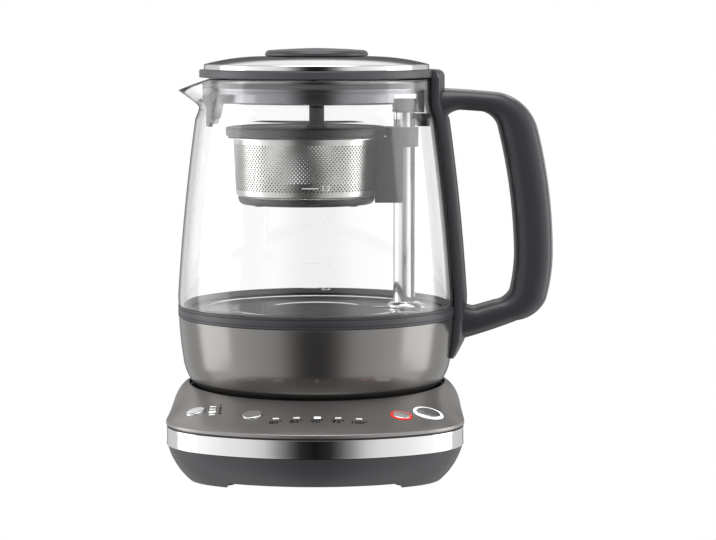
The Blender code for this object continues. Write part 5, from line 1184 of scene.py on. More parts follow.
class TEAMAKER_OT_lift(bpy.types.Operator):
    """Models the steel post that the basket rides on, with its foot and its cap"""
    bl_idname = "teamaker.lift"
    bl_label = "Lift post"

    def execute(self, context):
        radius = sizes("basket").post_radius
        at = world((POST_X, 0.0, 0.0))
        bore, bottom, top = radius - 0.8 * MM, low("lift_post"), high("lift_post")
        tube = lathe("post_tube", [(bore, bottom), (radius, bottom), (radius, top), (bore, top)], at,
                     SMALL_STEPS, closed=True)
        settle(tube, polished_steel(), "polished_steel", "jug", "lift_post")
        foot, wide = low("post_foot"), reach("post_foot")
        cone = arc((wide, foot + 0.8 * MM), (radius + 1.2 * MM, high("post_foot")), 0.5 * MM, 6)
        profile = [(radius + FIT, foot), (wide, foot)] + cone + [(radius + FIT, high("post_foot"))]
        cone = lathe("post_collar", profile, at, SMALL_STEPS, closed=True, soft=0.15 * MM)
        settle(cone, polished_steel(), "polished_steel", "jug", "post_foot")
        crown, wide = high("post_cap"), reach("post_cap")
        shoulder = top + FIT
        profile = [(0.0, shoulder - 4.0 * MM), (bore - FIT, shoulder - 4.0 * MM), (bore - FIT, shoulder),
                   (wide, shoulder), (wide, shoulder + 1.8 * MM), (wide - 0.3 * MM, shoulder + 2.0 * MM),
                   (wide - 0.3 * MM, shoulder + 2.3 * MM), (wide, shoulder + 2.5 * MM)]
        profile += arc((wide, crown - 0.8 * MM), (wide - 0.8 * MM, crown), 0.2 * MM, 5) + [(0.0, crown)]
        cap = lathe("post_top", profile, at, SMALL_STEPS, angle=25.0)
        settle(cap, grey_plastic(), "grey_plastic", "jug", "post_cap")
        return {"FINISHED"}


class TEAMAKER_OT_basket(bpy.types.Operator):
    """Models the tea basket: perforated steel cup, plastic rim, base and carriage, and its own lid"""
    bl_idname = "teamaker.basket"
    bl_label = "Tea basket"

    def execute(self, context):
        at = world((BASKET_X, 0.0, 0.0))
        self.cup(at)
        self.rim(at)
        self.base(at)
        self.carriage(at)
        self.lid(at)
        return {"FINISHED"}

    def cup(self, at):
        """Steel cup with staggered holes, each in a diamond of the sheet; no operator lays these out."""
        basket = sizes("basket")
        foot, foot_z = basket.cup_foot_radius, CUP_BOTTOM + 1.5 * MM
        top_z = CUP_TOP - basket.cup_wall
        side = [(foot, foot_z), (basket.cup_top_radius, top_z)]
        columns = round(math.tau * foot / basket.pitch)
        last_level = 2 * basket.rows + 2
        zone_low = (CUP_BOTTOM + CUP_TOP - last_level * basket.row_pitch / 2.0) / 2.0
        zone_high = zone_low + last_level * basket.row_pitch / 2.0
        bm = bmesh.new()
        corners = {}

        def spot(across, level):
            """Point of the side: four steps across and two levels make a pitch."""
            z = zone_low + level * basket.row_pitch / 2.0
            angle, radius = math.tau * across / (4 * columns), across_at(side, z)
            return radius * math.cos(angle), radius * math.sin(angle), z

        def corner(across, level):
            across %= 4 * columns
            if (across, level) not in corners:
                corners[across, level] = bm.verts.new(spot(across, level))
            return corners[across, level]

        for row in range(basket.rows):
            for column in range(columns):
                self.hole(bm, corner, spot, 4 * column + 2 * (row % 2), 2 * row + 2)
        for level, inward, start in ((0, 1, 0), (last_level, -1, 2 * ((basket.rows - 1) % 2))):
            for column in range(columns):
                left = start + 4 * column
                tip = corner(left + 2, level + 2 * inward)
                bm.faces.new((corner(left, level), corner(left + 2, level), tip,
                              corner(left + 1, level + inward)))
                bm.faces.new((corner(left + 2, level), corner(left + 4, level),
                              corner(left + 3, level + inward), tip))
        lower = [corner(2 * k, 0) for k in range(2 * columns)]
        upper = [corner(2 * k, last_level) for k in range(2 * columns)]
        floor = arc((foot, foot_z), (foot - 1.5 * MM, CUP_BOTTOM), 0.44 * MM, 4)
        edge_low, edge_high = zone_low - 0.4 * MM, zone_high + 0.4 * MM
        down = [(across_at(side, edge_low), edge_low)] + floor
        down += [(foot * 0.7, CUP_BOTTOM), (foot * 0.4, CUP_BOTTOM)]
        up = [(across_at(side, edge_high), edge_high), (basket.cup_top_radius, top_z),
              (reach("basket_cup"), top_z)]
        bm.faces.new(self.sheet(bm, lower, down))
        self.sheet(bm, upper, up)
        cup = build(bm, "perforated_cup")
        wall = cup.modifiers.new("Sheet", "SOLIDIFY")
        wall.thickness = basket.cup_wall
        wall.offset = -1.0
        bpy.ops.object.modifier_apply(modifier=wall.name)
        soften(cup, 0.0)
        place(cup, at)
        settle(cup, satin_steel(), "brushed_steel", "basket", "basket_cup")

    def hole(self, bm, corner, spot, centre, level):
        """One round hole between the eight corners of its diamond."""
        basket = sizes("basket")
        field = [corner(centre + right, level + up) for right, up in (
            (2, 0), (1, 1), (0, 2), (-1, 1), (-2, 0), (-1, -1), (0, -2), (1, -1))]
        edge = []
        for k in range(8):
            swing = math.radians(45.0 * k)
            right = basket.hole / 2.0 * math.cos(swing) / (basket.pitch / 4.0)
            up = basket.hole / 2.0 * math.sin(swing) / (basket.row_pitch / 2.0)
            edge.append(bm.verts.new(spot(centre + right, level + up)))
        bridge(bm, field, edge)

    def sheet(self, bm, ring, profile):
        """Plain sheet that goes on from a ring along a profile; returns its last ring."""
        for radius, z in profile:
            following = [bm.verts.new((x, y, z)) for x, y in round_points(radius, len(ring))]
            bridge(bm, ring, following)
            ring = following
        return ring

    def rim(self, at):
        """Plastic rim with the step that carries the lid."""
        basket = sizes("basket")
        step = BASKET_RIM_TOP - 2.4 * MM
        profile = [(basket.rim_bore, BASKET_RIM_BOTTOM), (basket.rim_radius, BASKET_RIM_BOTTOM),
                   (basket.rim_radius, BASKET_RIM_TOP), (basket.step_radius, BASKET_RIM_TOP),
                   (basket.step_radius, step), (basket.rim_bore, step)]
        rim = lathe("rim", profile, at, closed=True, soft=0.35 * MM)
        settle(rim, grey_plastic(), "grey_plastic", "basket", "basket_rim")

    def base(self, at):
        """Plastic plate under the cup with two nubs."""
        foot, top = sizes("basket").cup_foot_radius, CUP_BOTTOM - FIT
        under = top - 4.0 * MM
        profile = [(0.0, under), (foot - 3.0 * MM, under)]
        profile += arc((foot - 3.0 * MM, under), (foot - 1.0 * MM, under + 2.0 * MM), 0.4 * MM, 5)[1:]
        profile += [(foot - 0.5 * MM, top), (0.0, top)]
        plate = lathe("base_plate", profile, at, soft=0.2 * MM)
        nub_profile = [(0.0, under - 2.0 * MM), (2.4 * MM, under - 2.0 * MM), (3.0 * MM, under - 1.4 * MM),
                       (3.0 * MM, under + 2.0 * MM), (0.0, under + 2.0 * MM)]
        for side in (-1, 1):
            nub = lathe("nub", nub_profile, world((BASKET_X + side * 0.675 * foot, 0.0, 0.0)), 40)
            combine(plate, nub, "UNION")
        settle(plate, grey_plastic(), "grey_plastic", "basket", "basket_base")

    def carriage(self, at):
        """Block between the cup and the post: a full collar above and a half collar below."""
        basket = sizes("basket")
        collar = basket.post_radius + 1.8 * MM
        left = BASKET_X + basket.cup_foot_radius - 4.0 * MM
        outline = [(POST_X + x, y) for x, y in fan(collar, math.pi / 2.0, 16)]
        outline = [(left, -collar)] + outline + [(left, collar)]
        bottom = low("basket_carriage")
        block = slab("carriage", outline, bottom, BASKET_RIM_TOP)
        back, step = 0.975 * POST_X, BASKET_RIM_TOP - 11.0 * MM
        wide = 2.0 * collar
        corners = [(back, -wide), (back + wide, -wide), (back + wide, wide), (back, wide)]
        combine(block, slab("shorter", corners, bottom - wide, step))
        post_hole = basket.post_radius + FIT
        combine(block, rod(post_hole, bottom - wide, BASKET_RIM_TOP + wide, world((POST_X, 0.0, 0.0))))
        rim_z = CUP_TOP - 1.1 * MM
        bell = [(0.0, bottom - wide), (basket.cup_foot_radius + FIT, bottom - wide),
                (basket.cup_foot_radius + FIT, CUP_BOTTOM), (basket.cup_top_radius + FIT, rim_z),
                (basket.rim_radius + FIT, rim_z), (basket.rim_radius + FIT, BASKET_RIM_TOP + wide),
                (0.0, BASKET_RIM_TOP + wide)]
        combine(block, lathe("bell", bell, at))
        soften(block, 0.3 * MM, angle=40.0)
        settle(block, grey_plastic(), "grey_plastic", "basket", "basket_carriage")

    def lid(self, at):
        """Flat lid in the rim, with the black stem that reaches into the jug's lid."""
        basket = sizes("basket")
        bottom = BASKET_RIM_TOP - 2.1 * MM
        top, edge, stem = bottom + 1.6 * MM, basket.step_radius - FIT, 4.35 * MM
        profile = [(0.0, bottom), (edge, bottom), (edge, top), (edge - 2.0 * MM, top),
                   (edge - 2.6 * MM, top - 0.3 * MM), (0.0, top - 0.3 * MM)]
        disc = lathe("small_lid", profile, at, soft=0.2 * MM, angle=20.0)
        collar = [(stem + FIT, bottom + FIT), (stem + 2.5 * MM, bottom + FIT),
                  (stem + 1.5 * MM, top + 1.6 * MM), (stem + FIT, top + 1.6 * MM)]
        combine(disc, lathe("collar", collar, steps=SMALL_STEPS, closed=True), "UNION")
        settle(disc, grey_plastic(), "grey_plastic", "basket_lid", "basket_lid")
        crown = high("basket_lid_stem")
        profile = [(0.0, top + FIT), (stem, top + FIT), (stem, crown - 0.6 * MM), (stem - 0.6 * MM, crown),
                   (0.0, crown)]
        pin = lathe("stem", profile, steps=SMALL_STEPS, soft=0.15 * MM)
        settle(pin, black_plastic(), "black_plastic", "basket_lid", "basket_lid_stem")


# Lid

class TEAMAKER_OT_lid(bpy.types.Operator):
    """Models the lid: plug with its strainer tongue, seal, ring, steel dome and knob"""
    bl_idname = "teamaker.lid"
    bl_label = "Lid"

    def execute(self, context):
        self.plug()
        self.ring()
        self.dome()
        self.knob()
        return {"FINISHED"}

    def plug(self):
        """Grey plug in the neck, with a rib round it, a tongue at the spout and a tab at the handle."""
        jug = sizes("jug")
        radius = jug.neck_radius - jug.wall - 2.2 * MM
        neck, step = 0.903 * radius, PLUG_TOP - 8.5 * MM
        bottom = step - 5.8 * MM
        profile = [(0.0, bottom), (neck - 1.0 * MM, bottom), (neck, bottom + 1.0 * MM), (neck, step),
                   (radius, step), (radius, step + 0.9 * MM), (radius - 0.5 * MM, step + 1.1 * MM),
                   (radius - 0.5 * MM, step + 1.6 * MM), (radius, step + 1.8 * MM), (radius, PLUG_TOP),
                   (0.0, PLUG_TOP)]
        plug = lathe("plug_body", profile)
        flat_x, wide = 0.86 * POST_X, 1.2 * jug.neck_radius
        corners = [(flat_x, -wide), (wide, -wide), (wide, wide), (flat_x, wide)]
        combine(plug, slab("flat", corners, bottom - 3.0 * MM, step))
        seal_top = PLUG_TOP - 2.4 * MM
        combine(plug, self.tongue(radius, step, seal_top - 3.3 * MM), "UNION")
        outer = fan(radius, math.asin(9.0 * MM / radius), 8)
        thinner = (radius - 3.4 * MM) / radius
        inner = [(x * thinner, y * thinner) for x, y in outer[::-1]]
        combine(plug, slab("tab", outer + inner, step - 11.0 * MM, step + 2.0 * MM), "UNION")
        combine(plug, rod(4.95 * MM, bottom - 2.0 * MM, bottom + 6.3 * MM))
        soften(plug, 0.2 * MM, angle=38.0)
        settle(plug, lacquered_grey(), "grey_plastic", "lid", "lid_plug")
        inner, outer = radius + FIT, jug.neck_radius - jug.wall - 0.7 * MM
        waist = seal_top - 1.5 * MM
        profile = [(inner, seal_top - 3.0 * MM), (outer - 0.6 * MM, seal_top - 3.0 * MM), (outer, waist),
                   (outer - 0.6 * MM, seal_top), (inner, seal_top)]
        seal = lathe("neck_seal", profile, closed=True, soft=0.2 * MM)
        settle(seal, silicone(), "silicone", "lid", "lid_seal")

    def tongue(self, radius, step, top):
        """Curved strainer tongue behind the spout; it narrows to its foot."""
        outer, inner = radius + 1.6 * MM, radius - 0.3 * MM
        rings = []
        for height, half in ((top - 22.0 * MM, 19.0), (top - 20.5 * MM, 20.3), (step - 5.0 * MM, 26.5),
                             (step, 29.0), (top, 29.0)):
            swing = math.radians(half)
            outline = fan(outer, swing, 12, math.pi) + fan(inner, swing, 12, math.pi)[::-1]
            rings.append([(x, y, height) for x, y in outline])
        return skin("tongue", rings)

    def ring(self):
        """Ring on the glass rim, notched where the handle's head stands."""
        jug, handle = sizes("jug"), sizes("handle")
        bottom, top, radius = low("lid_ring"), high("lid_ring"), -low("lid_ring", 0) + AXIS_X
        bore = 0.747 * jug.neck_radius
        profile = [(bore, bottom), (radius, bottom), (radius, top), (bore, top)]
        ring = lathe("rim_ring", profile, closed=True)
        hook = jug.neck_radius - 2.3 * MM
        outline = fan(hook, math.asin((handle.spine_half_width + FIT) / hook), 12)
        outline += [(hook * 1.2, outline[-1][1]), (hook * 1.2, outline[0][1])]
        combine(ring, slab("notch", outline, bottom - 4.0 * MM, top + 4.0 * MM))
        soften(ring, 0.5 * MM, segments=3, angle=38.0)
        settle(ring, grey_plastic(), "grey_plastic", "lid", "lid_ring")

    def dome(self):
        """Steel dome: spun on top, polished round its side."""
        jug = sizes("jug")
        bottom, top, radius = low("lid_dome"), high("lid_dome"), reach("lid_dome")
        side_top, land, wall, edge = bottom + 2.9 * MM, 0.463 * jug.neck_radius, 1.0 * MM, 0.6 * MM
        side = chain([(radius, bottom), (radius, side_top - edge)],
                     arc((radius, side_top - edge), (radius - edge, side_top), 0.15 * MM, 4))
        crown = arc((radius - edge, side_top), (land, top), 1.1 * MM, 18)
        under = arc((land, top - wall), (radius - edge - wall, side_top - wall), -1.1 * MM, 6)
        bore = 8.3 * MM
        profile = chain(side, crown, [(bore, top), (bore, top - wall)], under, [(radius - wall, bottom)])
        dome = lathe("dome", profile, closed=True, angle=30.0)
        dome.data.materials.clear()
        dome.data.materials.append(spun_steel())
        dome.data.materials.append(polished_steel())
        for face in dome.data.polygons:
            if face.center.z < side_top and face.normal.z < 0.9:
                face.material_index = 1
        settle(dome, None, "brushed_steel", "lid", "lid_dome")

    def knob(self):
        """Flat round knob with a soft edge and a stub through the dome."""
        bottom, top, radius = high("lid_dome") + FIT, high("lid_knob"), reach("lid_knob")
        corner = arc((radius, bottom + 1.2 * MM), (radius - 2.4 * MM, top - 1.2 * MM), 0.5 * MM, 8)
        crown = arc(corner[-1], (0.0, top), 0.2 * MM, 10)
        stub = [(0.0, PLUG_TOP + FIT), (8.0 * MM, PLUG_TOP + FIT), (8.0 * MM, bottom),
                (radius - 0.4 * MM, bottom), (radius, bottom + 0.4 * MM)]
        knob = lathe("knob", chain(stub, corner, crown), angle=30.0)
        settle(knob, charcoal_plastic(), "charcoal_plastic", "lid", "lid_knob")


# Handle

def spine_front(height):
    """X of the spine's outer face: it follows the jug and draws in at both ends."""
    foot, top = low("handle_spine"), high("handle_spine")
    nose = 4.0 * MM
    x = jug_radius(min(height, GLASS_TOP)) + sizes("handle").spine_thickness
    x -= nose * (1.0 - min(1.0, max(0.0, (height - foot) / (2.5 * nose))))
    head = min(1.0, max(0.0, (top - height) / nose))
    return x - nose * (1.0 - math.sqrt(max(0.0, 1.0 - (1.0 - head) ** 2)))


def spine_ring(height, inner_radius):
    """Section of the spine: it hugs the jug and narrows to a rounded outer face."""
    handle = sizes("handle")
    half, face, front = handle.spine_half_width, handle.spine_face_half, spine_front(height)
    ring = [(x, y, height) for x, y in reversed(fan(inner_radius, math.asin(half / inner_radius), 8))]
    edge_x = ring[0][0]
    waist = edge_x + (front - edge_x) * 0.55
    flank = arc((front - 1.0 * MM, face), (waist, half * 0.96), 0.25 * MM, 4)
    corner = arc((front, face * 0.6), (front - 1.0 * MM, face), -0.35 * MM, 5)
    bow = [(front, face * 0.6 * (k / 3.0 - 1.0)) for k in range(1, 6)]
    right = chain(corner, flank)
    left = [(x, -y) for x, y in reversed(right)]
    return ring + [(x, y, height) for x, y in left + bow + right]


class TEAMAKER_OT_handle(bpy.types.Operator):
    """Models the handle: spine on the jug, two-piece grip and the clamp inside the neck"""
    bl_idname = "teamaker.handle"
    bl_label = "Handle"

    def execute(self, context):
        self.spine()
        self.grip()
        self.clamp()
        return {"FINISHED"}

    def spine(self):
        """Spine with sections at each height of the jug's side, and a head that hooks over the rim."""
        jug = sizes("jug")
        foot, top, nose = low("handle_spine"), high("handle_spine"), 4.0 * MM
        heights = [foot, foot + 2.0 * MM, foot + 5.0 * MM, foot + 10.0 * MM, STEEL_TOP, GLASS_BOTTOM]
        heights += [z for _, z in steel_profile() if foot + 11.0 * MM < z < STEEL_TOP]
        heights += [z for _, z in glass_profile() if z > GLASS_BOTTOM + 1.0 * MM]
        hook_z = GLASS_TOP + FIT
        rings = []
        for height in sorted(heights) + [hook_z]:
            inner = jug_radius(min(height, GLASS_TOP)) + FIT
            if STEEL_TOP <= height <= GLASS_BOTTOM:
                inner = jug.radius + FIT
            rings.append(spine_ring(height, inner))
        hook = jug.neck_radius - 2.0 * MM
        rings.append(spine_ring(hook_z, hook))
        for share in (0.9, 0.7, 0.5, 0.33, 0.2, 0.1, 0.04, 0.0):
            if top - nose * share > hook_z:
                rings.append(spine_ring(top - nose * share, hook))
        spine = skin("spine", rings, soft=0.5 * MM, angle=40.0)
        settle(spine, charcoal_plastic(), "charcoal_plastic", "jug", "handle_spine")

    def rails(self):
        """Outer and inner lines of the grip's loop, station by station."""
        handle = sizes("handle")
        outside, top = handle.grip_reach, GLASS_TOP - 5.8 * MM
        # The underside of the lower arm lies at 70 mm, or lower where the CAD's grip cover does
        bottom, inside = min(low("handle_grip_cover"), 70.0 * MM), outside - handle.grip_thickness
        arm_top, arm_low = top - 21.6 * MM, bottom + 28.0 * MM
        # Both arms reach this far into the spine
        root = 5.0 * MM
        root_top, root_low = spine_front(arm_top) - root, spine_front(arm_low) - root
        widest = GLASS_BOTTOM + 30.0 * MM
        corner = (outside - 9.2 * MM, top - 23.2 * MM)
        inner_corner = (inside - 9.7 * MM, top - 23.2 * MM)
        bend = (outside - 0.233 * outside, top - 2.5 * MM)
        heel = (outside - 3.8 * MM, bottom + 24.0 * MM)
        chin = (outside - 0.149 * outside, bottom + 12.0 * MM)
        fine = 4
        outer = chain(arc((spine_front(top) - root, top), bend, -0.3 * MM, 5 * fine),
                      arc(bend, corner, -4.4 * MM, 5 * fine),
                      arc(corner, (outside, widest), -2.2 * MM, 6 * fine),
                      arc((outside, widest), heel, -1.0 * MM, 3 * fine),
                      arc(heel, chin, -2.6 * MM, 4 * fine),
                      arc(chin, (spine_front(bottom) - root, bottom), -0.5 * MM, 5 * fine))
        shoulder = (inside - 19.0 * MM, top - 13.5 * MM)
        crook, sole = (inside - 2.5 * MM, bottom + 30.0 * MM), (inside - 11.1 * MM, bottom + 23.8 * MM)
        low_arm = (root_low + 9.0 * MM, bottom + 20.3 * MM)
        high_arm = (root_top + 10.5 * MM, top - 12.6 * MM)
        inner = chain(arc((root_top, arm_top), high_arm, -2.2 * MM, 3 * fine),
                      arc(high_arm, shoulder, 0.0, 2 * fine),
                      arc(shoulder, inner_corner, -2.0 * MM, 5 * fine),
                      arc(inner_corner, (inside, widest), -2.0 * MM, 6 * fine),
                      arc((inside, widest), crook, -0.6 * MM, 3 * fine),
                      arc(crook, sole, -1.4 * MM, 4 * fine),
                      arc(sole, low_arm, 0.0, 2 * fine),
                      arc(low_arm, (root_low, arm_low), -2.2 * MM, 3 * fine))
        return outer, inner

    def section(self, outer, inner, start, end):
        """Part of a rounded section between two shares of its width, from -1 inside to 1 outside."""
        middle_x, middle_z = (outer[0] + inner[0]) / 2.0, (outer[1] + inner[1]) / 2.0
        half_x, half_z = (outer[0] - inner[0]) / 2.0, (outer[1] - inner[1]) / 2.0
        first, last = math.asin(start), math.asin(end)
        power, steps = 2.0 / 2.8, 14
        ring = []
        for side in (1, -1):
            swings = [first + (last - first) * k / steps for k in range(steps + 1)]
            for swing in swings if side > 0 else reversed(swings):
                share = math.copysign(abs(math.sin(swing)) ** power, swing)
                depth = abs(math.cos(swing)) ** power * sizes("handle").grip_half_depth
                ring.append((middle_x + half_x * share, side * depth, middle_z + half_z * share))
        return ring

    def grip(self):
        """Grip in two shells with a fine seam between them."""
        outer, inner = self.rails()
        split = math.sin(math.radians(90.0) * 0.62)
        for name, start, end in (("grip_inner", -1.0, split - 0.012), ("grip_outer", split + 0.012, 1.0)):
            rings = [self.section(o, i, start, end) for o, i in zip(outer, inner)]
            shell = skin(name, rings, soft=0.25 * MM, angle=50.0)
            cad = "handle_grip" if name == "grip_inner" else "handle_grip_cover"
            # The outer shell's lighter grey is a painted highlight along the grip's back
            finish = charcoal_plastic() if name == "grip_inner" else grip_painted_highlight_plastic()
            settle(shell, finish, "charcoal_plastic", "jug", cad)

    def clamp(self):
        """Black block inside the neck that the handle is held against."""
        jug = sizes("jug")
        bottom, top = low("handle_clamp"), high("handle_clamp")
        wall = min(glass_radius(top), glass_radius(bottom)) - jug.wall - FIT
        half, face = 7.0 * MM, low("handle_clamp", 0) - AXIS_X
        outline = fan(wall, math.asin(half / wall), 6) + [(face, half), (face, -half)]
        block = slab("clamp", outline, bottom, top, soft=0.6 * MM)
        settle(block, black_plastic(), "black_plastic", "jug", "handle_clamp")


class TEAMAKER_OT_inner_pieces(bpy.types.Operator):
    """Gives finishes to the CAD pieces that stay: screws, board, switches, heater, motor and screw"""
    bl_idname = "teamaker.inner_pieces"
    bl_label = "Inner pieces"

    def execute(self, context):
        finishes = {
            "base_screw_1": satin_steel, "base_screw_2": satin_steel, "base_screw_3": satin_steel,
            "base_screw_4": satin_steel, "cord_gland": rubber, "control_board": circuit_board,
            "strength_switch": black_plastic, "temperature_switch": black_plastic,
            "keep_warm_switch": black_plastic, "start_switch": black_plastic,
            "heating_element": satin_steel, "temperature_sensor": black_plastic,
            "lift_motor": satin_steel, "lead_screw": satin_steel, "drive_magnet": ferrite,
        }
        for name, finish in finishes.items():
            for slot in bpy.data.objects[name].material_slots:
                slot.material = finish()
        return {"FINISHED"}


# Stage

# Light of the studio, by share of the half turn from the camera's side to the far side; 1 is paper white
ROOM_AHEAD = ((0.0, 0.01), (0.05, 0.03), (0.08, 0.12), (0.12, 0.35), (0.165, 0.75), (0.21, 0.95),
              (0.3, 1.1))
ROOM = ROOM_AHEAD + ((0.38, 1.3), (0.6, 1.5), (0.64, 0.85), (0.86, 0.7), (0.92, 0.25), (0.96, 0.12),
                     (1.0, 0.12))
ROOM_RAISED = ((0.0, 0.6), (0.05, 0.7), (0.15, 1.0), (0.3, 1.0), (0.42, 0.6), (0.85, 0.6), (0.93, 1.0),
               (1.0, 1.3))
# The same for rays through glass: white straight behind with a dark gap beside it, for the glass's outlines
THROUGH_GLASS = ROOM_AHEAD + ((0.58, 1.3), (0.63, 0.3), (0.76, 0.35), (0.84, 1.0), (1.0, 1.0))
BRIGHTEST = 2.0


class TeaMakerStage(bpy.types.PropertyGroup):
    """Camera and lights of the studio."""
    focal_length: FloatProperty(name="Focal length", description="Of the camera, in millimetres",
                                default=130.4, min=10.0)
    camera_right: length("Camera right", "From the jug's axis to the right", 23.8)
    camera_away: length("Camera distance", "In front of the jug's axis", 1494.9)
    camera_height: length("Camera height", "Over the table", 252.85)
    camera_down: turn("Camera tilt", "How far the camera looks down", 5.424)
    side_light: FloatProperty(name="Side lights", description="Power of each side softbox", default=5.0,
                              min=0.0, unit="POWER")
    top_light: FloatProperty(name="Top light", description="Power of the overhead softbox", default=15.0,
                             min=0.0, unit="POWER")


class TEAMAKER_OT_stage(bpy.types.Operator):
    """Sets up the white floor, the softboxes, the surroundings and the camera"""
    bl_idname = "teamaker.stage"
    bl_label = "Studio"

    def execute(self, context):
        self.floor()
        self.surroundings()
        stage = sizes("stage")
        for side in (-1, 1):
            # Seen from the jug each box spans 75 to 112 degrees from the front
            at = world((side * 1.3, 0.086, 0.25))
            name = "left_softbox" if side < 0 else "right_softbox"
            self.softbox(name, at, (0.883, 1.3), stage.side_light)
        self.softbox("top_softbox", world((0.0, -0.4, 1.5)), (1.2, 1.2), stage.top_light)
        self.camera()
        context.scene.view_settings.view_transform = "Standard"
        return {"FINISHED"}

    def floor(self):
        """White table top that goes on past the view; only the camera sees it, reflections see the room."""
        deselect_all()
        bpy.ops.mesh.primitive_plane_add(size=12.0, location=(0.0, 0.0, 0.0))
        floor = bpy.context.object
        floor.name = "white_floor"
        lit = (1.0, 1.0, 1.0, 1.0)
        floor.data.materials.append(plain("white_table_overlit", (0.0, 0.0, 0.0), 1.0, Emission_Color=lit,
                                          Emission_Strength=1.0, Specular_IOR_Level=0.0))
        for kind in ("glossy", "diffuse", "transmission", "shadow"):
            setattr(floor, "visible_" + kind, False)

    def surroundings(self):
        """White to the camera; to reflections it is a studio of light walls with dark gaps between them."""
        studio = bpy.data.worlds.new("studio")
        bpy.context.scene.world = studio
        studio.use_nodes = True
        tree = studio.node_tree
        tree.nodes.clear()
        direction = node(tree, "ShaderNodeTexCoord").outputs["Generated"]
        parts = node(tree, "ShaderNodeSeparateXYZ", Vector=direction)
        ahead = self.maths(tree, "MULTIPLY", parts.outputs["Y"], -1.0)
        swing = self.maths(tree, "ARCTAN2", parts.outputs["X"], ahead)
        share = self.maths(tree, "DIVIDE", self.maths(tree, "ABSOLUTE", swing, 0.0), math.pi)
        walls = self.ramp(tree, share, ROOM)
        raised = self.ramp(tree, share, ROOM_RAISED)
        # Sine of the elevation: the raised part of the room begins at 16 degrees and is whole at 20
        rise = node(tree, "ShaderNodeMapRange", Value=parts.outputs["Z"], i1=0.27, i2=0.35)
        room = self.blend(tree, rise.outputs["Result"], walls, raised)
        through = self.ramp(tree, share, THROUGH_GLASS)
        path = node(tree, "ShaderNodeLightPath").outputs
        reflections = self.maths(tree, "ADD", path["Diffuse Depth"], path["Glossy Depth"])
        straight = self.maths(tree, "LESS_THAN", reflections, 0.5)
        clear = self.maths(tree, "MULTIPLY", straight, path["Is Transmission Ray"])
        seen = self.blend(tree, clear, room, through)
        colour = self.blend(tree, path["Is Camera Ray"], seen, self.light_of(1.0))
        background = node(tree, "ShaderNodeBackground", Color=colour, Strength=BRIGHTEST)
        node(tree, "ShaderNodeOutputWorld", Surface=background.outputs["Background"])

    def maths(self, tree, operation, first, second):
        """One step of arithmetic; returns its result."""
        return node(tree, "ShaderNodeMath", {"operation": operation}, i0=first, i1=second).outputs["Value"]

    def blend(self, tree, share, first, second):
        """Mixes two colours by a share of the second; returns the mixed colour."""
        return node(tree, "ShaderNodeMixRGB", Fac=share, Color1=first, Color2=second).outputs["Color"]

    def light_of(self, light):
        """Grey that stands for an amount of light."""
        return (light / BRIGHTEST, light / BRIGHTEST, light / BRIGHTEST, 1.0)

    def ramp(self, tree, share, stops):
        """Light of the surroundings from the camera's side to the far side, from stops of (share, light)."""
        ramp = node(tree, "ShaderNodeValToRGB", Fac=share)
        elements = ramp.color_ramp.elements
        for spot, _ in stops[1:-1]:
            elements.new(spot)
        for stop, (_, light) in zip(elements, stops):
            stop.color = self.light_of(light)
        return ramp.outputs["Color"]

    def softbox(self, name, at, size, power):
        """Area light that looks at the middle of the jug."""
        light = bpy.data.lights.new(name, "AREA")
        light.shape = "RECTANGLE"
        light.size, light.size_y = size
        light.energy = power
        lamp = add(name, light)
        aim = world((0.0, 0.0, 0.12)) - Vector(at)
        lamp.location = at
        lamp.rotation_euler = aim.to_track_quat("-Z", "Y").to_euler()

    def camera(self):
        """Camera at the photograph's height and tilt."""
        stage = sizes("stage")
        camera = bpy.data.cameras.new("studio_camera")
        camera.lens = stage.focal_length
        camera.sensor_width = 36.0
        camera.sensor_fit = "HORIZONTAL"
        rig = add("studio_camera", camera)
        rig.location = world((stage.camera_right, -stage.camera_away, stage.camera_height))
        rig.rotation_euler = (math.radians(90.0) - stage.camera_down, 0.0, 0.0)
        bpy.context.scene.camera = rig


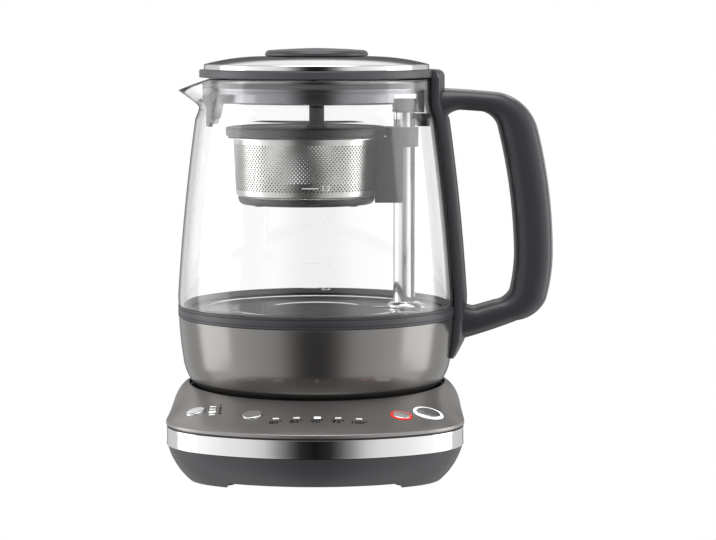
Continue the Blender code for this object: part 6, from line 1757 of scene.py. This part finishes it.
OPERATORS = (TEAMAKER_OT_base, TEAMAKER_OT_panel, TEAMAKER_OT_jug_base, TEAMAKER_OT_glass, TEAMAKER_OT_lift,
             TEAMAKER_OT_basket, TEAMAKER_OT_lid, TEAMAKER_OT_handle, TEAMAKER_OT_inner_pieces,
             TEAMAKER_OT_stage)
GROUPS = {"base": TeaMakerBaseSizes, "jug": TeaMakerJugSizes, "basket": TeaMakerBasketSizes,
          "handle": TeaMakerHandleSizes, "colours": TeaMakerColours, "stage": TeaMakerStage}


class TEAMAKER_PT_panel(bpy.types.Panel):
    """Lists the steps and the sizes of the tea maker"""
    bl_idname = "TEAMAKER_PT_panel"
    bl_label = "Tea maker"
    bl_space_type = "VIEW_3D"
    bl_region_type = "UI"
    bl_category = "Tea maker"

    def draw(self, context):
        for operator in OPERATORS:
            self.layout.operator(operator.bl_idname)
        for name, group in GROUPS.items():
            box = self.layout.box()
            box.label(text=name.title())
            for key in group.__annotations__:
                box.prop(getattr(context.scene, "tea_maker_" + name), key)


def register():
    for group in GROUPS.values():
        bpy.utils.register_class(group)
    for name, group in GROUPS.items():
        setattr(bpy.types.Scene, "tea_maker_" + name, PointerProperty(type=group))
    for operator in OPERATORS:
        bpy.utils.register_class(operator)
    bpy.utils.register_class(TEAMAKER_PT_panel)


def unregister():
    bpy.utils.unregister_class(TEAMAKER_PT_panel)
    for operator in reversed(OPERATORS):
        bpy.utils.unregister_class(operator)
    for name, group in reversed(GROUPS.items()):
        delattr(bpy.types.Scene, "tea_maker_" + name)
        bpy.utils.unregister_class(group)


def main():
    """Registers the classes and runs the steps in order."""
    register()
    bpy.ops.teamaker.base()
    bpy.ops.teamaker.panel()
    bpy.ops.teamaker.jug_base()
    bpy.ops.teamaker.glass()
    bpy.ops.teamaker.lift()
    bpy.ops.teamaker.basket()
    bpy.ops.teamaker.lid()
    bpy.ops.teamaker.handle()
    bpy.ops.teamaker.inner_pieces()
    bpy.ops.teamaker.stage()


if __name__ == "__main__":
    main()
